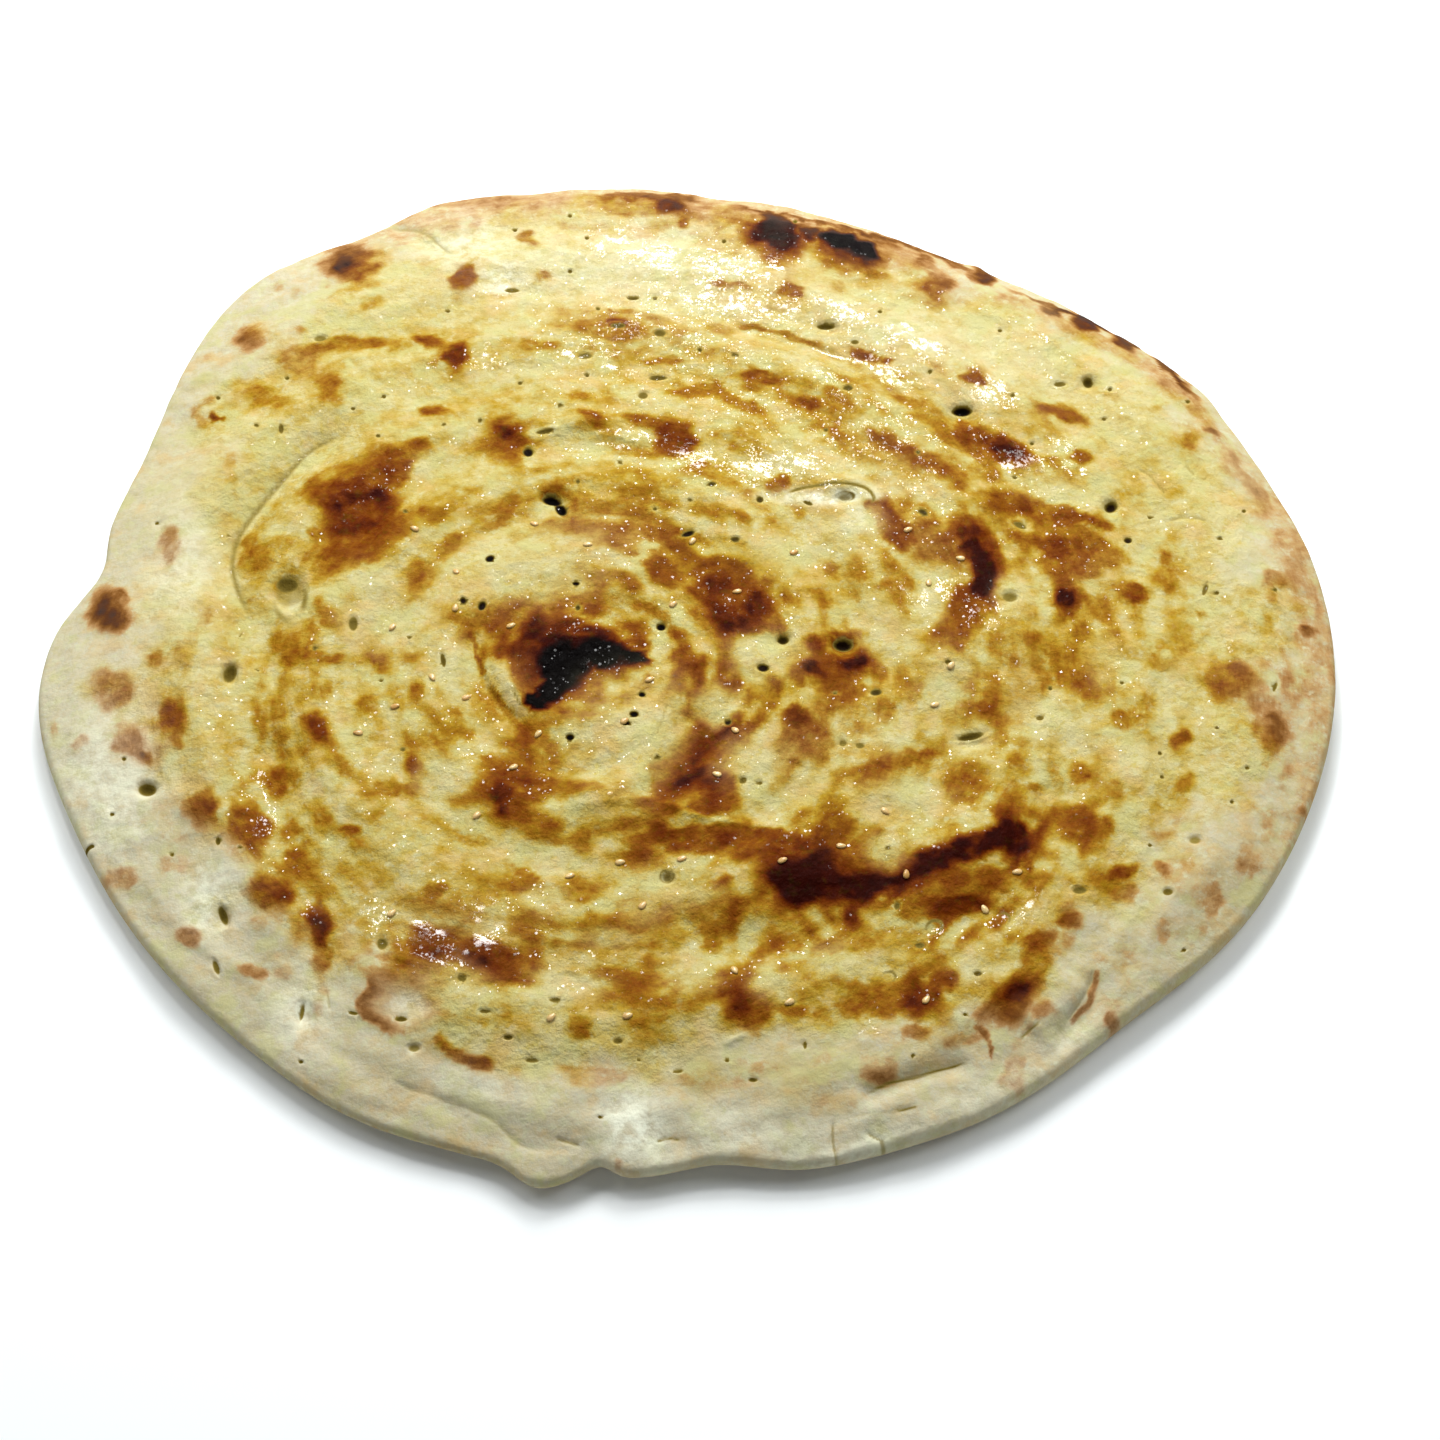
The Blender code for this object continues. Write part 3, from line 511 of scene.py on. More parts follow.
# Browned streaks: width across, tone, then the places along them
STREAKS = (
    Streak(9, GOLD, ((218, 399), (197, 408), (194, 422), (220, 427))),
    Streak(6, BROWN, ((204, 418), (226, 419))),
    Streak(11, GOLD, ((324, 950), (320, 975), (326, 1002))),
    Streak(20, 0.32, ((396, 218), (480, 204), (590, 200), (700, 206), (790, 222))),
    Streak(12, GOLD, ((418, 206), (480, 202), (560, 202))),
    Streak(9, BROWN, ((590, 198), (650, 197), (712, 202))),
    Streak(5, BROWN, ((712, 205), (770, 213), (850, 230), (930, 254), (1000, 285))),
    Streak(22, 0.38, ((560, 210), (660, 208), (750, 220), (880, 248), (960, 278))),
    Streak(18, 0.38, ((960, 285), (1060, 322), (1150, 370), (1210, 425), (1262, 500))),
    Streak(5, DARK, ((1000, 288), (1080, 318), (1150, 356), (1208, 410))),
    Streak(50, 0.31, ((1190, 395), (1240, 462), (1286, 535), (1314, 610), (1326, 690), (1324, 770),
                      (1300, 850), (1250, 930))),
    Streak(10, BROWN, ((1226, 446), (1246, 480), (1268, 512))),
    Streak(8, 0.3, ((1288, 528), (1313, 590), (1330, 660), (1336, 740), (1326, 800))),
    Streak(17, AMBER, ((292, 357), (318, 348), (345, 344), (425, 343))),
    Streak(8, DARK, ((602, 324), (634, 326))),
    Streak(7, AMBER, ((604, 312), (642, 312))),
    Streak(14, AMBER, ((680, 395), (715, 389), (745, 408), (762, 405))),
    Streak(8, AMBER, ((725, 321), (780, 333), (832, 351))),
    Streak(12, BROWN, ((845, 352), (895, 364))),
    Streak(10, BROWN, ((1048, 515), (1085, 520), (1118, 529))),
    Streak(8, AMBER, ((263, 530), (246, 541), (256, 561))),
    Streak(16, AMBER, ((270, 658), (310, 656), (352, 662))),
    Streak(7, AMBER, ((540, 740), (548, 750), (557, 756))),
    Streak(9, GOLD, ((410, 808), (450, 830), (487, 851))),
    Streak(30, DARK, ((872, 492), (886, 520), (914, 544))),
    Streak(38, DARK, ((946, 518), (980, 546), (991, 580), (980, 616))),
    Streak(26, MAHOGANY, ((962, 542), (984, 568), (976, 608))),
    Streak(48, BROWN, ((978, 590), (957, 625), (938, 655))),
    Streak(16, AMBER, ((938, 655), (922, 688), (905, 702))),
    Streak(18, 0.55, ((856, 430), (900, 448), (940, 468), (976, 490))),
    Streak(11, AMBER, ((1040, 508), (1075, 512), (1106, 524))),
    Streak(26, 0.55, ((560, 520), (600, 532), (648, 548))),
    Streak(22, AMBER, ((681, 604), (722, 640), (718, 688), (676, 694))),
    Streak(16, BROWN, ((640, 838), (700, 832), (765, 834), (832, 842))),
    Streak(33, MAHOGANY, ((904, 869), (945, 857), (985, 843), (1024, 834))),
    Streak(56, 0.6, ((770, 856), (840, 866), (910, 872), (990, 862))),
    Streak(30, 0.5, ((880, 905), (950, 890), (1020, 884))),
    Streak(13, 0.5, ((495, 860), (537, 883), (560, 917))),
    Streak(11, 0.44, ((537, 940), (600, 945), (690, 948))),
    Streak(16, BROWN, ((436, 1034), (452, 1050), (472, 1062), (496, 1062))),
    Streak(52, 0.28, ((290, 268), (400, 226), (540, 200), (690, 198), (830, 226), (960, 268))),
    Streak(26, 0.52, ((1000, 494), (1050, 520), (1100, 548), (1130, 575))),
    Streak(24, 0.56, ((946, 424), (985, 440), (1024, 458))),
    Streak(46, 0.64, ((396, 940), (440, 948), (480, 958), (536, 970))),
    Streak(18, 0.66, ((420, 952), (460, 957), (502, 966))),
    Streak(15, 0.6, ((384, 974), (366, 992), (368, 1014), (388, 1026), (414, 1026))),
    Streak(13, 0.54, ((392, 970), (414, 966), (436, 976), (444, 996))),
    Streak(5, 0.55, ((975, 1020), (985, 1040), (989, 1064))),
    Streak(16, AMBER, ((610, 838), (690, 846), (770, 852), (800, 860))),
    Streak(8, AMBER, ((1102, 963), (1090, 1000), (1062, 1030))),
    Streak(6, BROWN, ((467, 629), (476, 650), (481, 668), (486, 680))),
    Streak(8, AMBER, ((488, 684), (505, 708), (540, 752))),
)

SPOTS = (RIM_SPOTS + FAR_RIM_SPOTS + UPPER_SPOTS + LEFT_SPOTS + HEART_SPOTS + RIGHT_SPOTS
         + FRONT_SPOTS)

# Pinkish brown, where the crust is scalded
PINK = spots(
    (297, 361, 50, 26, 0.7, 10), (112, 688, 50, 40, 0.8), (128, 738, 46, 34, 0.8),
    (349, 264, 70, 44, 0.5), (475, 222, 22, 18, 0.7), (935, 286, 40, 36, 0.9), (700, 235, 26, 20, 0.6),
    (608, 538, 90, 40, 0.8, 10), (520, 675, 30, 34, 0.8), (1020, 688, 26, 66, 0.6),
    (800, 743, 52, 46, 0.8), (1090, 575, 44, 36, 0.5), (930, 545, 70, 34, 0.7, 30),
    (448, 924, 120, 44, 0.7, 6), (408, 1000, 60, 40, 0.7), (965, 1037, 44, 20, 0.6),
    (1250, 860, 40, 50, 0.5), (190, 938, 22, 20, 0.5), (1095, 745, 32, 18, 0.5),
    (895, 455, 96, 50, 0.5, 22), (1163, 932, 20, 30, 0.4), (840, 735, 90, 60, 0.5),
    (560, 960, 60, 40, 0.4), (202, 807, 40, 46, 0.4),
)

# Pools of yellow oil
YELLOW = spots(
    (447, 480, 34, 16, 0.8), (725, 470, 22, 16, 0.8), (440, 515, 34, 22, 0.8), (480, 880, 26, 22, 0.6),
    (580, 920, 46, 24, 0.6), (360, 705, 16, 24, 0.8), (650, 480, 110, 26, 0.6),
    (705, 1070, 36, 44, 0.6), (790, 1080, 46, 44, 0.6), (200, 505, 110, 120, 0.4),
    (750, 560, 90, 30, 0.8, 10), (832, 810, 50, 60, 0.7), (690, 555, 60, 34, 0.7),
    (450, 728, 36, 26, 0.7), (785, 690, 80, 34, 0.7), (960, 730, 40, 30, 0.4),
    (900, 420, 90, 30, 0.5, 15), (615, 812, 40, 16, 0.6), (1140, 480, 120, 50, 0.4, 10),
    (1080, 640, 90, 50, 0.5), (980, 500, 80, 26, 0.5),
)

# Floury, unoiled places on the near rim
FLOUR = spots(
    (632, 1128, 60, 70, 1), (850, 1150, 160, 50, 0.6, -4), (110, 780, 90, 150, 0.6),
    (210, 900, 60, 80, 0.7), (500, 280, 56, 40, 0.7), (620, 262, 320, 90, 0.35, 6),
    (900, 335, 260, 60, 0.25, 18), (640, 1150, 90, 60, 0.5), (300, 1010, 60, 60, 0.7),
    (180, 560, 60, 120, 0.4), (404, 1005, 46, 22, 0.6, 10), (292, 606, 16, 18, 0.4),
    (826, 495, 92, 11, 0.9, -2), (857, 519, 38, 26, 0.35), (1000, 1090, 120, 50, 0.4, -25),
    (1080, 1040, 80, 60, 0.3, -35), (480, 1090, 120, 40, 0.4, 10), (740, 1130, 120, 50, 0.5),
    (470, 245, 90, 60, 0.5),
)

# Where the oil lies in bright drops
GLEAMS = spots(
    (614, 242, 34, 26, 1), (665, 258, 60, 24, 1, 10), (722, 264, 60, 22, 1, 10),
    (774, 270, 34, 18, 1, 10), (722, 288, 50, 16, 1, 8), (745, 303, 120, 24, 1, 8),
    (842, 312, 50, 28, 1, 10), (915, 340, 70, 22, 1, 10), (855, 366, 90, 28, 1, 15),
    (893, 388, 24, 34, 1), (990, 393, 44, 24, 1, 10), (1062, 334, 40, 26, 0.9, 10),
    (1065, 432, 26, 24, 1), (1025, 468, 44, 24, 1, 10), (1072, 470, 26, 20, 1), (700, 458, 34, 22, 1),
    (765, 465, 84, 28, 1), (828, 481, 24, 14, 1), (620, 440, 76, 18, 0.8), (616, 360, 26, 22, 0.9),
    (430, 352, 24, 14, 0.8), (490, 350, 32, 26, 0.9), (565, 353, 22, 14, 0.8), (932, 588, 40, 22, 1),
    (258, 787, 18, 24, 0.9), (266, 815, 16, 28, 0.9), (316, 907, 20, 24, 0.9),
    (448, 926, 136, 40, 1, 6), (448, 956, 54, 20, 1), (712, 920, 24, 16, 0.9), (928, 920, 40, 20, 0.9),
    (1018, 912, 40, 24, 0.9), (862, 1030, 40, 18, 0.9), (590, 660, 80, 40, 0.12, 10),
    (560, 625, 60, 20, 0.2), (750, 605, 70, 40, 0.1), (390, 490, 60, 40, 0.12),
    (830, 885, 70, 40, 0.25), (985, 610, 30, 50, 0.5), (640, 340, 200, 60, 0.35, 5),
    (900, 440, 260, 80, 0.3, 15),
)

# Open holes and dimples: their tone is the painted shade of their floor, from olive to black
HOLES = spots(
    (289, 592, 29, 34, 0.3), (287, 584, 22, 13, 0.55), (230, 673, 13, 18, 0.55, 24),
    (147, 789, 18, 13, 0.55), (843, 645, 19, 12, 0.86), (962, 411, 19, 9, 0.95),
    (1111, 507, 12, 10, 0.82), (1088, 382, 10, 11, 0.65), (826, 326, 18, 6, 0.6),
    (302, 1012, 5, 18, 0.4, 10), (223, 915, 8, 20, 0.5, -20), (783, 640, 11, 8, 0.75),
    (763, 668, 12, 7, 0.85, 10), (552, 501, 19, 9, 1.0, 12), (561, 510, 13, 9, 1.0, 40),
    (971, 736, 26, 7, 0.6, -12), (1010, 596, 16, 10, 0.4), (443, 660, 5, 14, 0.6, -10),
    (353, 623, 9, 14, 0.5), (668, 878, 10, 8, 0.3), (1080, 890, 14, 7, 0.45), (618, 326, 14, 5, 0.6),
    (1168, 892, 10, 7, 0.5), (320, 338, 13, 7, 0.4), (920, 945, 10, 6, 0.45),
    (1020, 525, 14, 6, 0.5, 20), (845, 497, 14, 7, 0.3), (808, 503, 10, 4, 0.6, 20),
    (490, 559, 9, 6, 0.95, -20), (463, 600, 6, 6, 0.85), (482, 606, 7, 10, 0.9, 30),
    (576, 584, 7, 4, 0.9), (578, 608, 5, 5, 0.7), (661, 626, 9, 7, 1.0), (642, 694, 7, 5, 0.95),
    (634, 714, 9, 6, 0.95), (626, 723, 9, 4, 0.9), (570, 737, 8, 6, 1.0), (657, 757, 4, 4, 0.6),
    (688, 534, 13, 5, 0.85, -14), (735, 539, 9, 5, 0.7), (876, 693, 11, 6, 0.7), (728, 722, 7, 6, 0.8),
    (948, 662, 7, 4, 0.6), (743, 780, 8, 6, 0.5, -30), (760, 783, 5, 4, 0.5), (843, 743, 8, 7, 0.4),
    (860, 745, 9, 6, 0.45), (888, 848, 6, 4, 0.5), (923, 512, 10, 5, 0.7, 30), (528, 452, 10, 8, 0.9),
    (545, 431, 18, 5, 0.6, -8), (512, 290, 15, 4, 0.5), (633, 298, 12, 4, 0.6), (660, 333, 12, 6, 0.55),
    (585, 356, 15, 6, 0.45), (658, 378, 18, 5, 0.6), (643, 395, 10, 7, 0.5), (848, 388, 10, 5, 0.6),
    (712, 484, 8, 4, 0.7), (760, 499, 7, 6, 0.7), (1060, 384, 12, 5, 0.5), (1128, 540, 8, 6, 0.8),
    (1205, 590, 5, 12, 0.5, 20), (1275, 687, 4, 10, 0.5, 20), (1195, 840, 12, 8, 0.35),
    (353, 1013, 10, 4, 0.5, 10), (485, 1011, 12, 4, 0.5), (508, 1037, 9, 5, 0.6),
    (677, 1071, 12, 4, 0.5), (555, 1000, 12, 4, 0.5), (753, 1080, 9, 4, 0.55), (805, 1045, 4, 8, 0.5),
    (216, 967, 6, 15, 0.45, -20), (218, 841, 5, 8, 0.6), (281, 428, 5, 9, 0.5), (855, 342, 8, 5, 0.5),
    (897, 906, 6, 8, 0.5), (382, 943, 11, 12, 0.5), (401, 1019, 12, 5, 0.6), (414, 1048, 12, 8, 0.35),
    (532, 1060, 14, 5, 0.45), (618, 1041, 10, 6, 0.5), (462, 978, 9, 6, 0.5), (978, 973, 8, 5, 0.6),
    (1040, 718, 8, 5, 0.5), (735, 355, 8, 4, 0.5),
)

# Rings: bubbles that burst and left a dark round edge
RINGS = spots(
    (844, 497, 19, 10, 0.42), (667, 876, 14, 12, 0.36), (865, 794, 11, 10, 0.34),
    (290, 598, 30, 42, 0.36), (1003, 920, 13, 13, 0.4), (888, 977, 15, 11, 0.38),
    (934, 927, 16, 13, 0.45),
)

# Small open pores, each about as wide as PORE_WIDE pixels, and darkened by painted shade
PORES = (
    (124, 759), (112, 814), (92, 846), (240, 848), (301, 1062), (157, 523), (353, 409), (384, 397),
    (444, 424), (378, 436), (405, 512), (287, 378), (218, 397), (256, 425), (228, 535), (172, 855),
    (258, 670), (570, 216), (515, 230), (587, 238), (570, 271), (448, 311), (655, 298), (598, 309),
    (587, 375), (520, 383), (578, 482), (620, 462), (655, 509), (409, 637), (381, 680), (403, 750),
    (315, 648), (724, 241), (795, 222), (826, 430), (930, 372), (1013, 395), (918, 453), (1015, 477),
    (1110, 389), (1104, 419), (1188, 402), (1032, 443), (1150, 517), (1244, 511), (1220, 538),
    (1217, 593), (1275, 590), (1050, 689), (1122, 683), (1217, 728), (1160, 753), (1162, 777),
    (1247, 768), (1232, 802), (1150, 845), (835, 693), (639, 1060), (727, 1061), (913, 1056),
    (965, 1015), (1184, 950), (600, 1117), (240, 635), (690, 500), (560, 405), (480, 420), (700, 350),
    (880, 312), (1000, 330),
)
PORE_WIDE = 4.6
PORE_HIGH = 3.6
PORE_SHADE = 0.55

# Pale bubbles of dough
BUBBLES = spots(
    (423, 471, 16, 13, 1), (412, 725, 22, 18, 1), (576, 805, 19, 16, 1), (612, 845, 16, 12, 0.8),
    (325, 778, 15, 21, 1), (893, 735, 18, 16, 1), (965, 812, 20, 17, 1), (1135, 695, 16, 14, 0.8),
    (1065, 725, 13, 21, 0.8), (585, 1015, 16, 12, 0.8), (1095, 745, 31, 17, 0.6),
    (1165, 655, 14, 12, 0.8), (985, 765, 14, 12, 0.8), (452, 660, 20, 24, 1), (293, 604, 18, 18, 1),
    (806, 695, 20, 16, 1), (855, 760, 24, 10, 0.6), (950, 655, 30, 18, 0.7), (560, 985, 40, 22, 0.8),
    (1067, 988, 46, 34, 0.9, -50), (303, 1010, 16, 26, 0.8), (765, 655, 50, 30, 0.5),
    (755, 780, 30, 26, 0.6), (500, 670, 14, 36, 0.9, -30),
)

# What the mesh stores on its vertices for the material
STORED_MARKS = ("browning", "pale", "oil", "yellow", "pink", "flour", "gleam", "hollow", "under",
                "rim_top")

# Fine creases: width and sink (down is positive), how dark their painted shade is, then the places along
# them
CREASES = (
    Crease(1.8 * MM, 0.7 * MM, 0.34, ((368, 426), (335, 437), (308, 452), (290, 471), (262, 503),
                                      (240, 534), (232, 562), (237, 588), (247, 612), (258, 640))),
    Crease(1.6 * MM, 0.4 * MM, 0.08, ((262, 640), (272, 680), (288, 710), (297, 745), (306, 772))),
    Crease(1.3 * MM, 0.3 * MM, 0.12, ((465, 613), (475, 640), (479, 662), (484, 682), (500, 704),
                                      (522, 722), (546, 748))),
    Crease(1.0 * MM, -0.8 * MM, 0.0, ((482, 655), (491, 682), (503, 699))),
    Crease(0.9 * MM, 0.5 * MM, 0.4, ((512, 688), (521, 707))),
    Crease(1.1 * MM, 0.4 * MM, 0.25, ((668, 700), (662, 720), (654, 738))),
    Crease(1.1 * MM, 0.5 * MM, 0.25, ((380, 228), (420, 232), (440, 245), (452, 256))),
    Crease(0.9 * MM, 0.4 * MM, 0.46, ((778, 497), (800, 488), (835, 483), (862, 486), (874, 497),
                                      (868, 507))),
    Crease(1.2 * MM, -0.4 * MM, 0.0, ((545, 430), (568, 426), (592, 421))),
    Crease(1.2 * MM, -0.4 * MM, 0.0, ((590, 432), (620, 438), (652, 448))),
    Crease(1.0 * MM, 0.5 * MM, 0.3, ((1135, 468), (1150, 475), (1160, 487), (1168, 496))),
    Crease(1.0 * MM, 0.4 * MM, 0.25, ((1185, 463), (1196, 476))),
    Crease(1.0 * MM, 0.4 * MM, 0.25, ((1165, 522), (1188, 517), (1212, 522))),
    Crease(1.0 * MM, 0.3 * MM, 0.42, ((856, 1099), (890, 1083), (918, 1076), (945, 1068), (978, 1060))),
    Crease(1.0 * MM, 0.2 * MM, 0.2, ((845, 1117), (880, 1113), (918, 1108))),
    Crease(0.9 * MM, 0.2 * MM, 0.4, ((893, 1110), (906, 1109), (920, 1106))),
    Crease(1.0 * MM, 0.6 * MM, 0.3, ((833, 1120), (833, 1140), (836, 1156))),
    Crease(1.0 * MM, 0.6 * MM, 0.3, ((862, 1130), (885, 1142), (907, 1145))),
    Crease(1.0 * MM, 0.2 * MM, 0.0, ((975, 1023), (985, 1040), (988, 1062))),
    Crease(1.1 * MM, 0.5 * MM, 0.2, ((1093, 968), (1090, 986), (1080, 1002), (1064, 1026))),
    Crease(0.9 * MM, 0.3 * MM, 0.35, ((1018, 1041), (1042, 1019))),
    Crease(1.3 * MM, 0.4 * MM, 0.2, ((385, 1075), (401, 1085), (433, 1096), (472, 1110), (498, 1124),
                                     (514, 1140), (537, 1149), (592, 1152))),
    Crease(1.0 * MM, 0.5 * MM, 0.3, ((553, 1137), (582, 1146))),
    Crease(1.0 * MM, 0.5 * MM, 0.35, ((655, 1143), (666, 1138), (684, 1141))),
    Crease(1.0 * MM, 0.4 * MM, 0.25, ((327, 990), (330, 1011))),
    Crease(1.2 * MM, -0.6 * MM, 0.0, ((550, 978), (570, 972), (592, 982))),
    Crease(1.3 * MM, -0.6 * MM, 0.0, ((724, 1044), (746, 1035))),
    Crease(1.2 * MM, 0.3 * MM, 0.0, ((727, 322), (780, 334), (832, 353))),
    Crease(1.2 * MM, -0.6 * MM, 0.0, ((560, 808), (640, 800), (720, 822), (790, 826))),
)

# Colours as they are seen, 0 to 255, along the tones of browning
OILED_BROWNING = (
    (0.00, (230, 217, 152)),
    (0.15, (219, 195, 106)),
    (0.30, (204, 167, 56)),
    (0.46, (179, 126, 28)),
    (0.60, (150, 86, 16)),
    (0.74, (118, 50, 4)),
    (0.86, (66, 15, 5)),
    (0.97, (6, 3, 3)),
)
DRY_BROWNING = (
    (0.00, (229, 219, 184)),
    (0.15, (223, 208, 158)),
    (0.30, (212, 171, 112)),
    (0.46, (184, 134, 78)),
    (0.60, (144, 94, 42)),
    (0.74, (104, 62, 34)),
    (0.87, (80, 61, 54)),
    (0.97, (28, 22, 24)),
)
YELLOW_BROWNING = (
    (0.0, (218, 198, 96)),
    (0.3, (198, 160, 30)),
    (0.6, (140, 88, 4)),
    (0.94, (10, 5, 3)),
)
PINK_BROWNING = (
    (0.0, (226, 206, 160)),
    (0.3, (204, 162, 106)),
    (0.6, (150, 100, 58)),
    (0.94, (12, 8, 8)),
)
# Painted shade in holes and creases, from the olive of their walls to black; the dark edges of burst
# rings take these colours too
HOLLOW_COLOUR_AND_SHADE = (
    (0.0, (196, 176, 96)),
    (0.3, (164, 144, 66)),
    (0.55, (114, 96, 34)),
    (0.8, (42, 28, 14)),
    (0.95, (8, 5, 4)),
)

# Tints, flour, the underside, the seeds and the studio
PALE_FLECK = (234, 231, 180)
FLOURED = (223, 226, 205)
OLIVE_STAIN = (212, 202, 146)
GREENISH = (220, 218, 146)
PEACH = (234, 192, 116)
UNDER_PALE = (222, 206, 168)
UNDER_BAKED = (176, 136, 88)
SESAME_PALE = (214, 188, 128)
SESAME_TOASTED = (184, 138, 70)
FLOOR_COLOUR = (238, 243, 244)
WORLD_COLOUR = (250, 250, 250)

# The rounded edge: the tone of its faint line, and how much of the rim's browning fades down it
EDGE_LINE = 0.14
EDGE_FADE = 0.3
EDGE_WAVE = Wave("ragged fading", 5 * MM, 1, 18.3)

# Grain: how many patches it has in a metre, or in each fibre's length and width
MOTTLE_GRAIN = 640
BROAD_GRAIN = 190
FLECK_GRAIN = 300
HUE_GRAIN = 85
RELIEF_GRAIN = 420
BLISTER_GRAIN = 170
LACE_BREAK_GRAIN = 260
SESAME_GRAIN = 150
DROP_GRAINS = (700, 1300)
POOL_GRAIN = 330
FIBRE_ACROSS = 2.0 * MM
FIBRE_ALONG = 9 * MM
FIBRE_GRAIN = 1.0
FIBRE_RELIEF_GRAIN = 0.8
LACE_GRAIN = 0.42
# The fine part of any grain: how many times finer it is, and its share of the relief
FINE_GRAIN = 3.1
FINE_GRAIN_SHARE = 0.16
# How far aside grain is read that has nothing to do with the grain at a place
ASIDE = (3.7, 1.9, 0.6)

# How far the grain strays from the stored browning, and how much room each tone leaves it
MOTTLE_SHARE = 0.22
BROAD_SHARE = 0.55
FIBRE_SHARE = Window(0.1, 0.4, 0.12, 0.3)
TONE_ROOM = ((0.0, 0.8), (0.25, 1.0), (0.55, 0.9), (0.7, 0.6), (0.86, 0.2))

# Where each tint of the crust shows: in which patches of the grain, on which tones, and how much
LIGHT_CRUST = Window(0.42, 0.12)
FLOURY_PATCHES = Window(0.0, 0.15, 0.0, 0.5)
FLOURY_FLECKS = Window(0.02, 0.16, 0.0, 0.5)
OLIVE_PATCHES = Window(-0.02, -0.16, 0.0, 0.45)
PALE_PATCHES = Window(0.03, 0.17)
PALE_TONES = Window(0.5, 0.05)
PALE_SHARE = 0.6
ISLAND_SHARE = 0.25
GOLDEN_PATCHES = Window(-0.03, -0.17)
GOLDEN_SHARE = 0.7
YELLOW_SHARE = 0.8
PINK_SHARE = 0.4
GREENISH_PATCHES = Window(0.0, 0.14, 0.0, 0.55)
PEACH_PATCHES = Window(-0.02, -0.16, 0.0, 0.42)
FLOUR_PATCHES = Window(-0.14, 0.1, 0.2, 1.0)
FLOUR_TONES = Window(0.55, 0.2, 0.15, 1.0)
# Where the painted shade of holes and creases begins to show
HOLLOW_EDGE = Window(0.08, 0.4)
UNDER_PATCHES = Window(-0.05, 0.2)

# Oil: the share of cells that hold a drop, the size of the drops, and the wet lines in wrinkles
DROP_SHARE = 0.055
GLEAM_SHARE = 0.5
DROP_CHANCE = Window(0.97, 1.03)
DROP_EDGE = Window(0.2, 0.42, 1.0, 0.0)
DROP_SWELLING = 0.1
POOL_GLEAM = Window(0.3, 0.8)
LACE_WIDTH = 0.05
LACE_EDGE = Window(0.0, 0.012)
LACE_JOINING = 0.06
LACE_BREAKS = Window(0.02, 0.07)
SPECKS_ON_DARK = Window(0.5, 0.85, 1.0, 0.35)

# Gloss and bumps
CRUST_SPECULAR = 0.02
DRY_ROUGHNESS = 0.85
OILED_ROUGHNESS = Window(-0.12, 0.12, 0.62, 0.48)
OIL_ROUGHNESS = 0.12
RELIEF_SHARE = 0.5
FIBRE_RELIEF_SHARE = 0.16
BLISTER_SHARE = 1.8
RELIEF_MIDDLE = 0.38
OILED_RELIEF = Window(0.0, 1.0, 0.5, 1.0)
CRUST_BUMP = 0.8 * MM
SEED_TOAST = Window(-0.2, 0.25)
SEED_ROUGHNESS = Window(-0.3, 0.3, 0.26, 0.42)
SEED_OIL = 0.4
SEED_OIL_ROUGHNESS = 0.15
SEED_BUMP = 0.2 * MM
SEED_BUMP_STRENGTH = 0.4
FLOOR_ROUGHNESS = 0.9
FLOOR_SPECULAR = 0.1

# Light: bearings and heights in degrees, distances and sizes in metres
WORLD_STRENGTH = 0.07
BROAD_LAMPS = (
    Lamp("key", 152, 44, 1.35, 0.75, 6.4),
    Lamp("side", 15, 45, 0.9, 0.5, 3.4),
)
FILL_AZIMUTH = 255
FILL_ELEVATION = 42
FILL_STRENGTH = 0.3
FILL_SPREAD = 60
FILL_DISTANCE = 2
CRUST_LIGHTNESS = 0.6
FLOOR_SIZE = 6.0

# Lamps whose mirror image in the oil lies at a pixel of the picture, where the crust slopes as given
GLINT_DISTANCE = 1.15
GLINTS = (
    Glint("glint_far", 800, 370, 0.0, 0.4, 10.5),
    Glint("glint_far_edge", 710, 270, 0.12, 0.2, 3.2),
    Glint("glint_heart", 600, 640, 0.0, 0.12, 1.2),
    Glint("glint_near", 430, 935, 0.0, 0.2, 3.4),
    Glint("glint_right", 960, 600, 0.0, 0.1, 0.9),
    Glint("glint_front", 900, 960, 0.0, 0.1, 0.9),
    Glint("glint_left", 330, 640, 0.0, 0.1, 0.9),
)


def reach(bearing):
    """How far the rim is from the outline's own centre, at bearings in degrees."""
    distance = np.full(np.shape(bearing), MEAN_REACH)
    for bulge in BULGES:
        turn = (bearing - bulge.bearing + 180) % 360 - 180
        distance = distance + bulge.size * np.exp(-(turn / bulge.spread) ** 2)
    return distance


def outline_shift():
    """The move that brings the outline's box to the middle of the origin."""
    bearing = np.arange(0, 360, 0.25)
    x = reach(bearing) * np.cos(np.radians(bearing))
    y = reach(bearing) * np.sin(np.radians(bearing))
    return -(x.max() + x.min()) / 2, -(y.max() + y.min()) / 2


SHIFT_X, SHIFT_Y = outline_shift()


def polar(x, y):
    """Distance from the outline's centre, and bearing in degrees."""
    across = x - SHIFT_X
    along = y - SHIFT_Y
    return np.hypot(across, along), np.degrees(np.arctan2(along, across))


def between(bearing, far_value, near_value):
    """A value that eases round the bread from the far right side to the near left side."""
    ease = 0.5 - 0.5 * np.cos(np.radians(bearing - FAR_SIDE))
    return far_value + (near_value - far_value) * ease


def dome(x, y):
    """The crust's height without its furrows: a flat crown that rolls down to the rim."""
    distance, bearing = polar(x, y)
    inset = np.maximum(reach(bearing) - distance, 0)
    rim_top = between(bearing, RIM_TOP_FAR, RIM_TOP_NEAR)
    shoulder = between(bearing, SHOULDER_FAR, SHOULDER_NEAR)
    return rim_top + (CROWN_HEIGHT - rim_top) * np.tanh(inset / shoulder)


